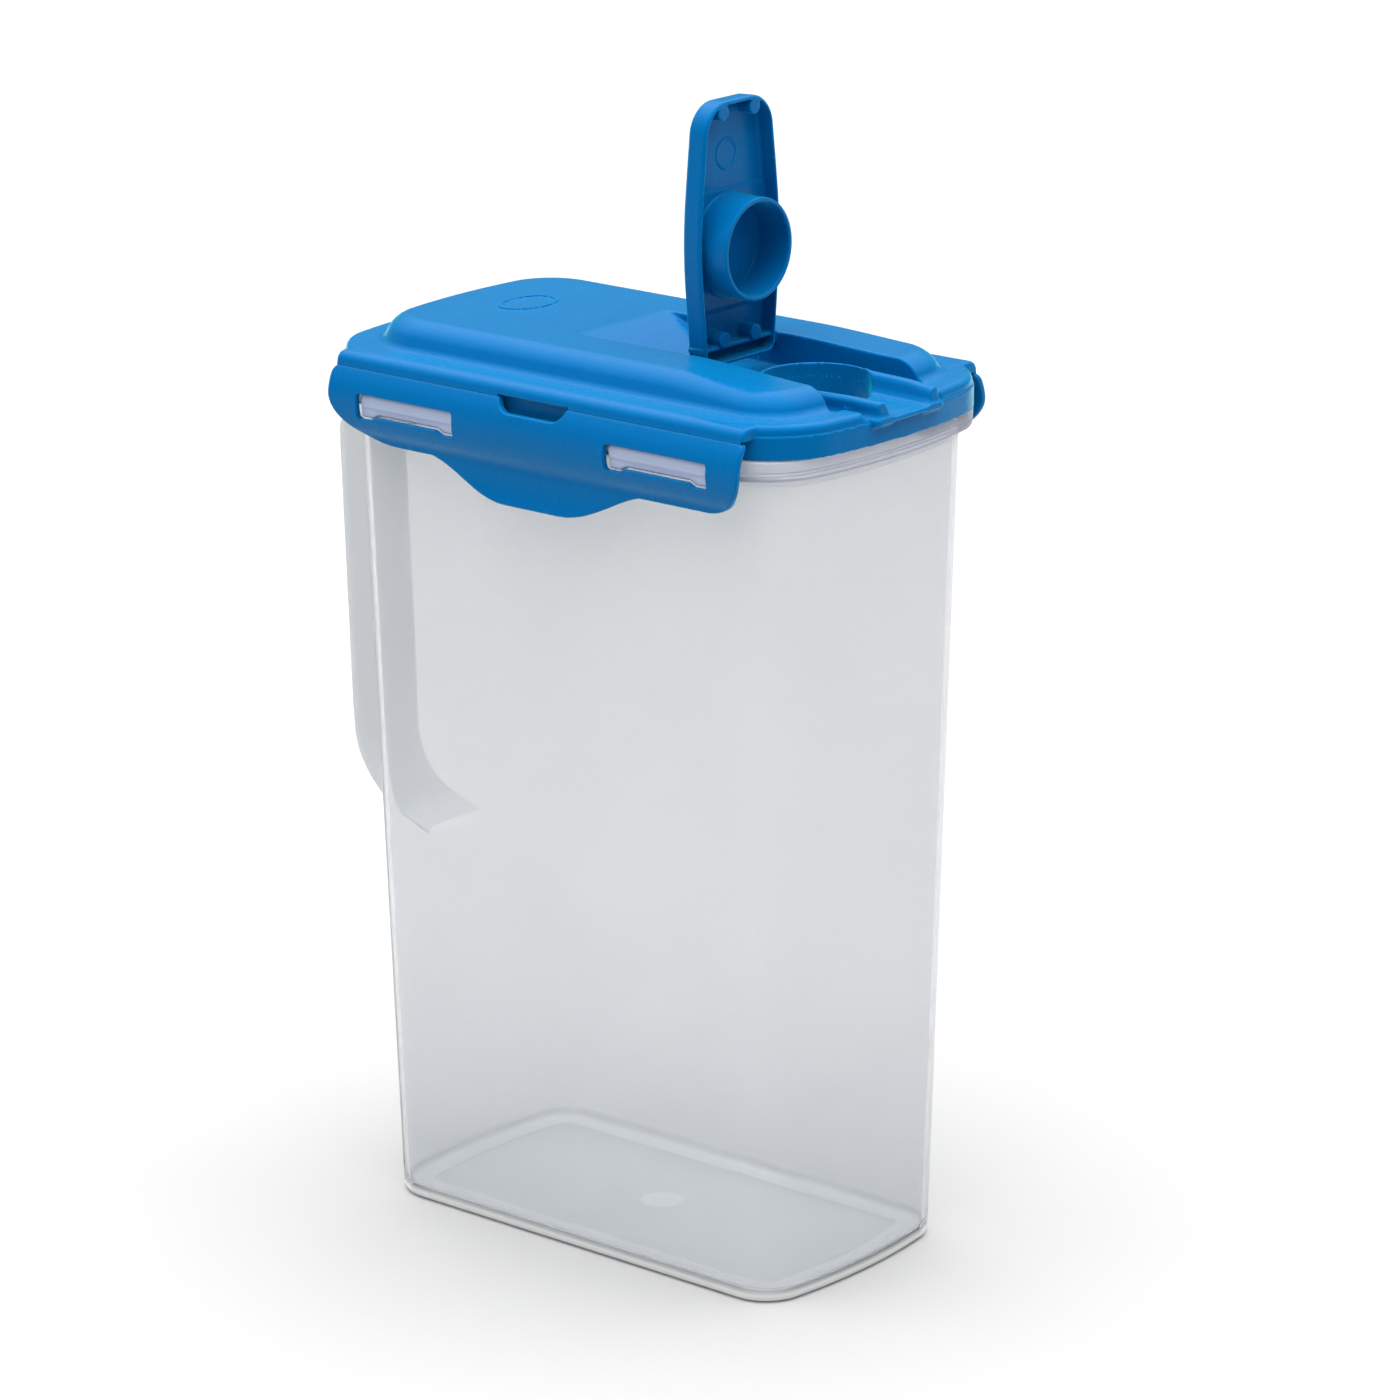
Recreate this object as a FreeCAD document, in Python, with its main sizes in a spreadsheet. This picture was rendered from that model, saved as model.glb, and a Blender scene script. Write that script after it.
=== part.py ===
"""Upright fridge jug with a clip-lock lid: container, handle, lid, gasket, side latches and pour cap.

Millimetres. +X is the pouring end, -X the handle end, +Z up.
The origin is the centre of the jug's base, on the surface that it stands on.
"""
import FreeCAD, Part
import math
import os
import Sketcher

V = FreeCAD.Vector
QUARTER_TURN = 90

# Every driving dimension: alias, value, what it is.
DIMENSIONS = [
    # container: outlines are rectangles with rounded corners and bowed short ends
    ("base_length", 75.1, "half length of the container at its base"),
    ("base_width", 39.2, "half width of the container at its base"),
    ("base_corner", 13.5, "corner radius at the base"),
    ("base_bow", 185.6, "radius of the bowed ends at the base"),
    ("base_round", 2.6, "rounding of the bottom edge"),
    ("mouth_length", 83.5, "half length of the container under its flange"),
    ("mouth_width", 42.4, "half width of the container under its flange"),
    ("mouth_corner", 15.5, "corner radius under the flange"),
    ("mouth_bow", 176.1, "radius of the bowed ends under the flange"),
    ("wall", 1.6, "container wall"),
    ("floor", 2.2, "container floor"),
    ("flange_low", 238.5, "underside of the flange"),
    ("flange_high", 244, "top of the flange"),
    ("flange_length", 86.2, "half length of the flange"),
    ("flange_width", 49, "half width of the flange"),
    ("flange_corner", 20, "corner radius of the flange"),
    ("rim_top", 247.6, "top of the sealing rim"),
    ("rim_length", 84.9, "half length of the sealing rim"),
    ("rim_width", 43.6, "half width of the sealing rim"),
    ("rim_corner", 16.5, "corner radius of the sealing rim"),
    # lugs that the latches clip over
    ("lug_inner", 27.9, "inner end of a lug along X"),
    ("lug_outer", 62.7, "outer end of a lug along X"),
    ("lug_root", 47.5, "root of a lug inside the flange"),
    ("lug_face", 52.6, "outer face of a lug"),
    ("lug_low", 237, "underside of a lug"),
    ("lug_high", 243, "top of a lug"),
    # handle strap
    ("strap_reach", 109.7, "outer face of the strap from the centre, at the top of the grip"),
    ("strap_reach_low", 106.9, "outer face of the strap at the bottom of the grip"),
    ("strap_curl", 128.5, "height where the grip turns into the lower curl"),
    ("strap_thick", 2.8, "strap thickness"),
    ("strap_width", 12.9, "half width of the strap"),
    ("strap_top", 226, "top of the strap's upper arm"),
    ("strap_low", 98.6, "underside of the strap's foot at the wall"),
    ("strap_arm", 82, "inner end of the upper arm, inside the container's wall"),
    ("strap_foot", 77.5, "inner end of the foot, inside the container's wall"),
    ("strap_round_top", 8, "outer radius of the upper corner"),
    ("strap_round_low", 26, "outer radius of the lower curl"),
    # lid
    ("skirt_low", 244.3, "lower edge of the lid's skirt"),
    ("skirt_length", 88.2, "half length of the lid"),
    ("skirt_width", 49.7, "half width of the lid"),
    ("skirt_corner", 20.8, "corner radius of the lid"),
    ("skirt_wall", 1.8, "skirt wall"),
    ("deck_low", 250.1, "underside of the lid's deck"),
    ("deck_high", 253.6, "top of the lid's outer shelf"),
    ("dome_top", 261.3, "top of the lid's raised middle"),
    ("dome_foot_length", 78.6, "half length of the raised middle at the shelf"),
    ("dome_foot_width", 40.4, "half width of the raised middle at the shelf"),
    ("dome_length", 74.6, "half length of the raised middle at its top"),
    ("dome_width", 36.6, "half width of the raised middle at its top"),
    ("dome_corner", 15, "corner radius of the raised middle"),
    ("dome_wall", 1.9, "wall of the raised middle"),
    ("guide_low", 246, "lower edge of the guide wall inside the mouth"),
    ("guide_length", 81.5, "half length of the guide wall"),
    ("guide_width", 40.2, "half width of the guide wall"),
    ("guide_corner", 14.5, "corner radius of the guide wall"),
    ("guide_wall", 1.5, "guide wall thickness"),
    ("band_length", 72.4, "half length of the bands that carry the latches"),
    ("band_face", 51, "outer face of those bands"),
    ("band_low", 250.2, "underside of those bands"),
    # trough for the cap
    ("trough_floor", 251.5, "floor of the trough"),
    ("trough_under", 250.1, "underside of the trough's floor"),
    ("trough_back", 17.4, "half width of the trough at the hinge"),
    ("trough_front", 19.6, "half width of the trough at the dome's front"),
    ("trough_wall", 1.8, "side wall of the trough"),
    ("trough_block", 42.8, "width of the solid block that the trough is cut into"),
    ("block_back", 15, "back end of that block behind the middle"),
    ("ramp_start", -11, "where the ramp leaves the dome's top"),
    ("ramp_end", 14.1, "where the ramp meets the trough's floor"),
    ("trough_end", 79.5, "where the trough runs out on the shelf"),
    ("channel_width", 15.8, "half width of the spout channel through the shelf"),
    ("lip_reach", 90.4, "front edge of the pouring lip"),
    ("lip_width", 14.6, "half width of the pouring lip"),
    # pour hole and its collar
    ("hole_place", 57, "pour hole centre along X"),
    ("hole_radius", 14.9, "pour hole radius"),
    ("hole_relief", 0.5, "how far the hole runs on towards the lip, for the plug's swing"),
    ("tube_radius", 16.4, "outer radius of the pour tube under the deck"),
    ("tube_low", 245.6, "lower end of the pour tube, which the plug reaches down into"),
    ("collar_radius", 15.9, "outer radius of the collar round the hole"),
    ("collar_top", 256.4, "top of the collar and of the channel's ridges"),
    ("ridge_start", 63, "where the channel's ridges leave the collar"),
    ("ridge_end", 89.2, "front end of the channel's ridges"),
    ("ridge_start_outer", 15.4, "outer face of a ridge where it starts"),
    ("ridge_end_outer", 13.1, "outer face of a ridge at its end"),
    ("ridge_thick", 3.4, "ridge thickness"),
    # gasket
    ("seal_length", 85.6, "half length of the gasket"),
    ("seal_width", 44.3, "half width of the gasket"),
    ("seal_corner", 17, "corner radius of the gasket"),
    ("seal_band", 3.2, "gasket width"),
    # pour cap, standing upright
    ("pivot_x", 27.1, "cap hinge axis along X"),
    ("pivot_z", 258.6, "cap hinge axis height"),
    ("cap_back", 24.3, "outer face of the cap"),
    ("cap_rim", 31, "rim plane of the cap"),
    ("cap_plate", 1.7, "cap plate thickness"),
    ("cap_wall", 1.25, "cap skirt wall"),
    ("cap_low", 256.5, "hinge end of the cap"),
    ("cap_tip", 329.3, "free end of the cap"),
    ("cap_heel", 15, "half width of the cap at the hinge end"),
    ("cap_waist", 17.3, "widest half width of the cap, round the plug"),
    ("cap_waist_low", 284, "lower end of the widest stretch"),
    ("cap_waist_high", 296, "upper end of the widest stretch"),
    ("cap_neck", 16.1, "half width above the plug"),
    ("cap_neck_high", 308, "height of that neck"),
    ("cap_nose", 14.4, "half width near the free end"),
    ("cap_nose_round", 7, "corner radius at the free end"),
    ("cap_heel_round", 2, "corner radius at the hinge end"),
    ("plug_place", 288.5, "plug centre on the upright cap"),
    ("plug_radius", 14.25, "plug outer radius"),
    ("plug_bore", 12.85, "plug inner radius"),
    ("plug_end", 37.6, "open end of the plug"),
    ("peg_radius", 2.2, "radius of the cap's stiffening pegs"),
    ("peg_side", 6.6, "pegs' distance from the middle"),
    ("peg_low", 263.5, "height of the lower pegs"),
    ("peg_high", 326.1, "height of the upper pegs"),
    ("heel_rib_low", 260.9, "underside of the rib across the hinge end"),
    ("heel_rib_high", 262, "top of the rib across the hinge end"),
    ("pin_radius", 1.6, "hinge pin radius"),
    ("pin_reach", 19, "end of a hinge pin from the middle"),
    ("socket_radius", 1.68, "hinge socket radius"),
    ("socket_reach", 19.3, "bottom of a hinge socket from the middle"),
    ("socket_wall", 1.6, "wall behind a hinge socket"),
    ("socket_length", 7, "length of the boss round a hinge socket"),
    # latches
    ("latch_length", 74, "half length of a latch"),
    ("latch_top", 249.9, "top edge of a latch"),
    ("latch_hinge", 51.1, "latch hinge line from the middle"),
    ("latch_inner_top", 49.95, "inner face of a latch at its top edge"),
    ("latch_bulge", 54.2, "outer face of a latch at its widest"),
    ("latch_bulge_z", 241, "height of that widest line"),
    ("latch_thick", 1.8, "latch thickness"),
    ("latch_tuck", 51.3, "outer face where the latch tucks in"),
    ("latch_tuck_z", 231, "height where the latch tucks in"),
    ("latch_low", 229.6, "lower edge of a latch outside its finger tab"),
    ("latch_corner", 16, "radius of a latch's lower corners"),
    ("tab_low", 219.8, "lower edge of the finger tab"),
    ("tab_face", 52.8, "outer face of the finger tab at its lower edge"),
    ("tab_half", 16, "half length of the tab's lower edge"),
    ("tab_root", 33.5, "half length of the tab where it leaves the latch"),
    ("tab_bow", 0.6, "how far the tab's face curves in on its way down"),
    ("slot_inner", 26.9, "inner end of a slot"),
    ("slot_outer", 63.7, "outer end of a slot"),
    ("slot_low", 234.6, "lower edge of a slot"),
    ("slot_high", 243.7, "upper edge of a slot"),
    ("slot_round", 1.2, "corner radius of a slot"),
    ("notch_half", 12.3, "half length of the notch on the hinge line"),
    ("notch_low", 246.1, "lower edge of the notch"),
    ("notch_round", 2.6, "radius of the notch's lower corners"),
]

doc = FreeCAD.newDocument("jug")
sheet = doc.addObject("Spreadsheet::Sheet", "dims")
for row, (alias, value, meaning) in enumerate(DIMENSIONS, start=1):
    sheet.set(f"A{row}", meaning)
    sheet.set(f"B{row}", str(value))
    sheet.setAlias(f"B{row}", alias)
doc.recompute()

SIZE = {alias: float(sheet.get(alias)) for alias, _, _ in DIMENSIONS}


def value_of(words):
    """The number that an expression over the sheet's aliases stands for, such as 'wall + floor'."""
    total = 0.0
    sign = 1
    for word in words.split():
        if word in "+-":
            sign = 1 if word == "+" else -1
            continue
        total += sign * (SIZE[word] if word in SIZE else float(word))
        sign = 1
    return total


def bound(words):
    """The same expression as FreeCAD reads it, with the sheet's name before each alias."""
    return " ".join(f"dims.{word}" if word in SIZE else word for word in words.split())


def bind(thing, prop, words):
    thing.setExpression(prop, bound(words))


def bind_last(sketch, words):
    """Binds the value of the sketch's newest constraint."""
    sketch.setExpression(f"Constraints[{sketch.ConstraintCount - 1}]", bound(words))


# ---------------------------------------------------------------- sketches


def free_sketch(name, plane="XY", height=None):
    """A sketch of the document's own, upright on XZ or level on XY at a height."""
    sketch = doc.addObject("Sketcher::SketchObject", name)
    turn = QUARTER_TURN if plane == "XZ" else 0
    sketch.Placement = FreeCAD.Placement(V(), FreeCAD.Rotation(V(1, 0, 0), turn))
    if height:
        bind(sketch, "Placement.Base.z", height)
    return sketch


def body_sketch(body, name, plane, height=None):
    """A sketch attached to one of a body's own origin planes, moved along the plane's normal."""
    sketch = body.newObject("Sketcher::SketchObject", name)
    role = next(f for f in body.Origin.OriginFeatures if f.Role == f"{plane}_Plane")
    sketch.AttachmentSupport = (role, "")
    sketch.MapMode = "FlatFace"
    if height:
        bind(sketch, "AttachmentOffset.Base.z", height)
    return sketch


def bowed_outline(sketch, length, width, corner, bow):
    """A rectangle along X with rounded corners and bowed short ends, all tangent, fully bound."""
    reach, side, radius, end = (value_of(words) for words in (length, width, corner, bow))
    centre = reach - end
    corner_y = side - radius
    corner_x = centre + math.sqrt((end - radius) ** 2 - corner_y**2)
    sweep = math.atan2(corner_y, corner_x - centre)
    right, half = math.pi / 2, math.pi

    def arc(x, y, size, start, stop):
        circle = Part.Circle(V(x, y, 0), V(0, 0, 1), size)
        return sketch.addGeometry(Part.ArcOfCircle(circle, start, stop), False)

    def line(x1, x2, y):
        return sketch.addGeometry(Part.LineSegment(V(x1, y, 0), V(x2, y, 0)), False)

    top = line(-corner_x, corner_x, side)
    corner_a = arc(corner_x, corner_y, radius, sweep, right)
    front = arc(centre, 0, end, -sweep, sweep)
    corner_b = arc(corner_x, -corner_y, radius, -right, -sweep)
    low = line(corner_x, -corner_x, -side)
    corner_c = arc(-corner_x, -corner_y, radius, half + sweep, half + right)
    back = arc(-centre, 0, end, half - sweep, half + sweep)
    corner_d = arc(-corner_x, corner_y, radius, right, half - sweep)
    joins = [
        (top, 2, corner_a, 2),
        (corner_a, 1, front, 2),
        (front, 1, corner_b, 2),
        (corner_b, 1, low, 1),
        (low, 2, corner_c, 2),
        (corner_c, 1, back, 2),
        (back, 1, corner_d, 2),
        (corner_d, 1, top, 1),
    ]
    for join in joins:
        sketch.addConstraint(Sketcher.Constraint("Tangent", *join))
    for straight in (top, low):
        sketch.addConstraint(Sketcher.Constraint("Horizontal", straight))
    for bowed in (front, back):
        sketch.addConstraint(Sketcher.Constraint("PointOnObject", bowed, 3, -1))
    for other in (corner_b, corner_c, corner_d):
        sketch.addConstraint(Sketcher.Constraint("Equal", corner_a, other))
    sketch.addConstraint(Sketcher.Constraint("Equal", front, back))
    sketch.addConstraint(Sketcher.Constraint("Radius", corner_a, radius))
    bind_last(sketch, corner)
    sketch.addConstraint(Sketcher.Constraint("Radius", front, end))
    bind_last(sketch, bow)
    sketch.addConstraint(Sketcher.Constraint("DistanceY", -1, 1, top, 1, side))
    bind_last(sketch, width)
    sketch.addConstraint(Sketcher.Constraint("DistanceY", low, 1, -1, 1, side))
    bind_last(sketch, width)
    sketch.addConstraint(Sketcher.Constraint("DistanceX", front, 3, -1, 1, -centre))
    bind_last(sketch, f"{bow} - ( {length} )")
    sketch.addConstraint(Sketcher.Constraint("DistanceX", -1, 1, back, 3, -centre))
    bind_last(sketch, f"{bow} - ( {length} )")
    return sketch


def pin_point(sketch, edge, place, along, up):
    """Fixes a sketch point at bound coordinates; each is words, a leading '~' meaning minus."""
    upright_axis, level_axis = -2, -1
    for kind, words, axis in (("DistanceX", along, upright_axis), ("DistanceY", up, level_axis)):
        minus = words.startswith("~")
        words = words.lstrip("~")
        if words == "0":
            sketch.addConstraint(Sketcher.Constraint("PointOnObject", edge, place, axis))
            continue
        ends = (edge, place, -1, 1) if minus else (-1, 1, edge, place)
        sketch.addConstraint(Sketcher.Constraint(kind, *ends, value_of(words)))
        bind_last(sketch, words)


def number_at(words):
    return -value_of(words[1:]) if words.startswith("~") else value_of(words)


def polygon(sketch, corners):
    """A closed polygon whose corners are pairs of bound coordinates."""
    points = [V(number_at(along), number_at(up), 0) for along, up in corners]
    count = len(points)
    edges = []
    for i, point in enumerate(points):
        segment = Part.LineSegment(point, points[(i + 1) % count])
        edges.append(sketch.addGeometry(segment, False))
    for i, edge in enumerate(edges):
        sketch.addConstraint(Sketcher.Constraint("Coincident", edge, 2, edges[(i + 1) % count], 1))
    for edge, (along, up) in zip(edges, corners):
        pin_point(sketch, edge, 1, along, up)
    return sketch


def circle(sketch, along, up, radius):
    centre = V(number_at(along), number_at(up), 0)
    ring = sketch.addGeometry(Part.Circle(centre, V(0, 0, 1), value_of(radius)), False)
    sketch.addConstraint(Sketcher.Constraint("Radius", ring, value_of(radius)))
    bind_last(sketch, radius)
    pin_point(sketch, ring, 3, along, up)
    return sketch


# ---------------------------------------------------------------- features


def pad(body, sketch, length, reverse=False):
    feature = body.newObject("PartDesign::Pad", sketch.Name + "_pad")
    feature.Profile = sketch
    feature.Reversed = reverse
    bind(feature, "Length", length)
    return feature


def pocket(body, sketch, length, reverse=False):
    feature = body.newObject("PartDesign::Pocket", sketch.Name + "_pocket")
    feature.Profile = sketch
    feature.Reversed = reverse
    bind(feature, "Length", length)
    return feature


def ruled_loft(body, kind, name, first, last):
    feature = body.newObject(f"PartDesign::{kind}Loft", name)
    feature.Profile = first
    feature.Sections = [last]
    feature.Ruled = True
    return feature


def prism(name, sketch, length, both_ways=False):
    """A straight solid from a free sketch, along the sketch's normal."""
    solid = doc.addObject("Part::Extrusion", name)
    solid.Base = sketch
    solid.DirMode = "Normal"
    solid.Solid = True
    solid.Symmetric = both_ways
    bind(solid, "LengthFwd", length)
    return solid


def taper(name, low, high):
    solid = doc.addObject("Part::Loft", name)
    solid.Sections = [low, high]
    solid.Solid = True
    solid.Ruled = True
    return solid


def joined(name, *solids):
    whole = doc.addObject("Part::MultiFuse", name)
    whole.Shapes = list(solids)
    return whole


def cut(name, base, tool):
    rest = doc.addObject("Part::Cut", name)
    rest.Base = base
    rest.Tool = tool
    return rest


def shared(name, first, second):
    overlap = doc.addObject("Part::MultiCommon", name)
    overlap.Shapes = [first, second]
    return overlap


def box(name, low, high):
    """A box between two corners whose coordinates are words over the sheet."""
    solid = doc.addObject("Part::Box", name)
    for axis, side, start, stop in zip("xyz", ("Length", "Width", "Height"), low, high):
        bind(solid, f"Placement.Base.{axis}", start)
        bind(solid, side, f"{stop} - ( {start} )")
    return solid


def measured(solid, least, most):
    """Stops the build if a finished solid's volume in cubic centimetres isn't as expected."""
    volume = solid.Shape.Volume / 1000
    print(f"{solid.Label}: {volume:.1f} cm3")
    if not least < volume < most:
        raise ValueError(f"{solid.Label} has {volume:.2f} cm3, not {least} to {most}")


# ---------------------------------------------------------------- container


def make_container():
    """The tapered vessel with its flange, sealing rim and four latch lugs, one moulding."""
    body = doc.addObject("PartDesign::Body", "container")
    base = body_sketch(body, "base_outline", "XY")
    bowed_outline(base, "base_length", "base_width", "base_corner", "base_bow")
    mouth = body_sketch(body, "mouth_outline", "XY", "flange_low")
    bowed_outline(mouth, "mouth_length", "mouth_width", "mouth_corner", "mouth_bow")
    ruled_loft(body, "Additive", "vessel", base, mouth)

    flange = body_sketch(body, "flange_outline", "XY", "flange_low")
    bowed_outline(flange, "flange_length", "flange_width", "flange_corner", "mouth_bow")
    pad(body, flange, "flange_high - flange_low")
    rim = body_sketch(body, "rim_outline", "XY", "flange_high")
    bowed_outline(rim, "rim_length", "rim_width", "rim_corner", "mouth_bow")
    pad(body, rim, "rim_top - flange_high")

    for name, side in (("front", "~"), ("rear", "")):
        for end in ("~", ""):
            lug = body_sketch(body, f"lug_{name}_{'back' if end else 'ahead'}", "XY", "lug_low")
            near, far = f"{side}lug_root", f"{side}lug_face"
            inner, outer = f"{end}lug_inner", f"{end}lug_outer"
            polygon(lug, [(inner, near), (outer, near), (outer, far), (inner, far)])
            pad(body, lug, "lug_high - lug_low")

    cavity_low = body_sketch(body, "cavity_floor", "XY", "floor")
    bowed_outline(
        cavity_low, "base_length - wall", "base_width - wall", "base_corner - wall", "base_bow - wall"
    )
    cavity_high = body_sketch(body, "cavity_mouth", "XY", "rim_top")
    bowed_outline(
        cavity_high, "mouth_length - wall", "mouth_width - wall", "mouth_corner - wall", "mouth_bow - wall"
    )
    cavity = ruled_loft(body, "Subtractive", "cavity", cavity_low, cavity_high)
    doc.recompute()

    edges = [
        f"Edge{i}"
        for i, edge in enumerate(cavity.Shape.Edges, start=1)
        if edge.BoundBox.ZMax < 0.01
    ]
    rounding = body.newObject("PartDesign::Fillet", "base_rounding")
    rounding.Base = (cavity, edges)
    bind(rounding, "Radius", "base_round")
    return body


def make_handle(container):
    """The open strap at the back: an upper arm, a straight grip and a long curve into the wall."""
    outer = free_sketch("strap_outer", "XZ")
    draw_strap(outer, 0)
    inner = free_sketch("strap_inner", "XZ")
    draw_strap(inner, 1)
    whole = prism("strap_block", outer, "strap_width + strap_width", both_ways=True)
    core = prism("strap_core", inner, "strap_width + strap_width + 2", both_ways=True)
    strap = cut("strap_blank", whole, core)
    handle = cut("handle", strap, container)
    return handle


def draw_strap(sketch, inside):
    """The strap's side view: its outer face or, one thickness in, its inner face.

    From the wall: a level arm, a round corner, a grip that leans in, a long curl and a sloping foot.
    """
    thick = SIZE["strap_thick"] * inside
    back_top = -SIZE["strap_reach"] + thick
    back_low = -SIZE["strap_reach_low"] + thick
    top, curl_top = SIZE["strap_top"] - thick, SIZE["strap_curl"]
    arm, foot = -SIZE["strap_arm"] + inside, -SIZE["strap_foot"] + inside
    foot_z = SIZE["strap_low"] + thick
    high_round = SIZE["strap_round_top"] - thick
    low_round = SIZE["strap_round_low"] - thick
    quarter = math.pi / 2
    slope = math.radians(20)
    curl_x = back_low + low_round
    heel_x = curl_x - low_round * math.sin(slope)
    heel_z = curl_top - low_round * math.cos(slope)

    def arc(x, z, size, start, stop):
        ring = Part.Circle(V(x, z, 0), V(0, 0, 1), size)
        return sketch.addGeometry(Part.ArcOfCircle(ring, start, stop), False)

    def line(x1, z1, x2, z2):
        return sketch.addGeometry(Part.LineSegment(V(x1, z1, 0), V(x2, z2, 0)), False)

    upper = line(arm, top, back_top + high_round, top)
    bend = arc(back_top + high_round, top - high_round, high_round, quarter, 2 * quarter)
    grip = line(back_top, top - high_round, back_low, curl_top)
    curl = arc(curl_x, curl_top, low_round, 2 * quarter, 3 * quarter - slope)
    lower = line(heel_x, heel_z, foot, foot_z)
    end = line(foot, foot_z, arm, top)
    for join in ((upper, 2, bend, 1), (bend, 2, grip, 1), (grip, 2, curl, 1), (curl, 2, lower, 1)):
        sketch.addConstraint(Sketcher.Constraint("Tangent", *join))
    sketch.addConstraint(Sketcher.Constraint("Coincident", lower, 2, end, 1))
    sketch.addConstraint(Sketcher.Constraint("Coincident", end, 2, upper, 1))
    sketch.addConstraint(Sketcher.Constraint("Horizontal", upper))
    less = " - strap_thick" if inside else ""
    more = " + strap_thick" if inside else ""
    nudge = " - 1" if inside else ""
    for bent, words in ((bend, "strap_round_top"), (curl, "strap_round_low")):
        sketch.addConstraint(Sketcher.Constraint("Radius", bent, value_of(words + less)))
        bind_last(sketch, words + less)
    pin_point(sketch, upper, 1, "~strap_arm" + nudge, "strap_top" + less)
    sketch.addConstraint(Sketcher.Constraint("DistanceX", grip, 1, -1, 1, -back_top))
    bind_last(sketch, "strap_reach" + less)
    pin_point(sketch, grip, 2, "~strap_reach_low" + less, "strap_curl")
    pin_point(sketch, end, 1, "~strap_foot" + nudge, "strap_low" + more)


# ---------------------------------------------------------------- lid


def make_lid():
    """The lid: skirt, shelf, hollow raised middle, trough, collar, lip, latch bands and hinge sockets."""
    skirt = free_sketch("skirt_outline", "XY", "skirt_low")
    bowed_outline(skirt, "skirt_length", "skirt_width", "skirt_corner", "mouth_bow")
    slab = prism("lid_slab", skirt, "deck_high - skirt_low")
    foot = free_sketch("dome_foot", "XY", "deck_high")
    bowed_outline(foot, "dome_foot_length", "dome_foot_width", "dome_corner + 2", "mouth_bow")
    crown = free_sketch("dome_crown", "XY", "dome_top")
    bowed_outline(crown, "dome_length", "dome_width", "dome_corner", "mouth_bow")
    dome = taper("lid_dome", foot, crown)
    envelope = joined("lid_envelope", slab, dome)

    under = free_sketch("skirt_inside", "XY", "skirt_low")
    bowed_outline(
        under,
        "skirt_length - skirt_wall",
        "skirt_width - skirt_wall",
        "skirt_corner - skirt_wall",
        "mouth_bow",
    )
    hollow = prism("lid_hollow", under, "deck_low - skirt_low")
    cave_foot = free_sketch("cave_foot", "XY", "deck_low")
    bowed_outline(
        cave_foot,
        "dome_foot_length - dome_wall",
        "dome_foot_width - dome_wall",
        "dome_corner",
        "mouth_bow",
    )
    cave_top = free_sketch("cave_top", "XY", "dome_top - dome_wall")
    bowed_outline(
        cave_top,
        "dome_length - dome_wall",
        "dome_width - dome_wall",
        "dome_corner - dome_wall",
        "mouth_bow",
    )
    cave = taper("lid_cave", cave_foot, cave_top)
    shell = cut("lid_shell", envelope, joined("lid_hollows", hollow, cave))

    trough_shape = free_sketch("trough_block_side", "XZ")
    polygon(
        trough_shape,
        [
            ("~block_back", "dome_top - dome_wall"),
            ("ramp_start - 2", "dome_top - dome_wall"),
            ("ramp_end - 2", "trough_under"),
            ("skirt_length", "trough_under"),
            ("skirt_length", "dome_top"),
            ("~block_back", "dome_top"),
        ],
    )
    block = prism("trough_bulk", trough_shape, "trough_block", True)
    fill = shared("trough_fill", block, envelope)

    guide = free_sketch("guide_outline", "XY", "guide_low")
    bowed_outline(guide, "guide_length", "guide_width", "guide_corner", "mouth_bow")
    guide_in = free_sketch("guide_inside", "XY", "guide_low")
    bowed_outline(
        guide_in,
        "guide_length - guide_wall",
        "guide_width - guide_wall",
        "guide_corner - guide_wall",
        "mouth_bow",
    )
    guide_ring = cut(
        "guide_ring",
        prism("guide_block", guide, "deck_low - guide_low"),
        prism("guide_core", guide_in, "deck_low - guide_low"),
    )
    bands = [
        box(
            f"band_{side}",
            ("0 - band_length", start, "band_low"),
            ("band_length", stop, "deck_high"),
        )
        for side, start, stop in (
            ("front", "0 - band_face", "0 - skirt_width + skirt_wall"),
            ("rear", "skirt_width - skirt_wall", "band_face"),
        )
    ]
    lip = box(
        "pouring_lip",
        ("skirt_length - 5", "0 - lip_width", "trough_under"),
        ("lip_reach", "lip_width", "trough_floor"),
    )
    bosses = [
        box(
            f"socket_boss_{side}",
            ("pivot_x - socket_length / 2", start, "pivot_z - socket_radius - 2"),
            ("pivot_x + socket_length / 2", stop, "dome_top"),
        )
        for side, start, stop in (
            ("front", "0 - socket_reach - socket_wall", "0 - trough_back"),
            ("rear", "trough_back", "socket_reach + socket_wall"),
        )
    ]
    tube_ring = free_sketch("tube_outline", "XY", "tube_low")
    circle(tube_ring, "hole_place", "0", "tube_radius")
    tube = prism("pour_tube", tube_ring, "trough_floor - tube_low")
    solid = joined("lid_solid", shell, fill, guide_ring, *bands, lip, *bosses, tube)

    trough_plan = free_sketch("trough_plan", "XY", "trough_floor")
    polygon(
        trough_plan,
        [
            ("ramp_start - 1", "trough_back + 1"),
            ("pivot_x - 5", "trough_back + 1"),
            ("pivot_x - 5", "trough_back"),
            ("trough_end", "trough_front"),
            ("trough_end", "channel_width"),
            ("lip_reach + 1", "channel_width"),
            ("lip_reach + 1", "~channel_width"),
            ("trough_end", "~channel_width"),
            ("trough_end", "~trough_front"),
            ("pivot_x - 5", "~trough_back"),
            ("pivot_x - 5", "~trough_back + 1"),
            ("ramp_start - 1", "~trough_back + 1"),
        ],
    )
    opening = prism("trough_opening", trough_plan, "dome_top - trough_floor + 1")
    side_view = free_sketch("trough_side", "XZ")
    polygon(
        side_view,
        [
            ("ramp_start", "dome_top"),
            ("ramp_end", "trough_floor"),
            ("lip_reach + 1", "trough_floor"),
            ("lip_reach + 1", "dome_top + 1"),
            ("ramp_start", "dome_top + 1"),
        ],
    )
    side_cut = prism("trough_side_cut", side_view, "trough_front + trough_front + 4", True)
    trough = shared("trough", opening, side_cut)

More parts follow.
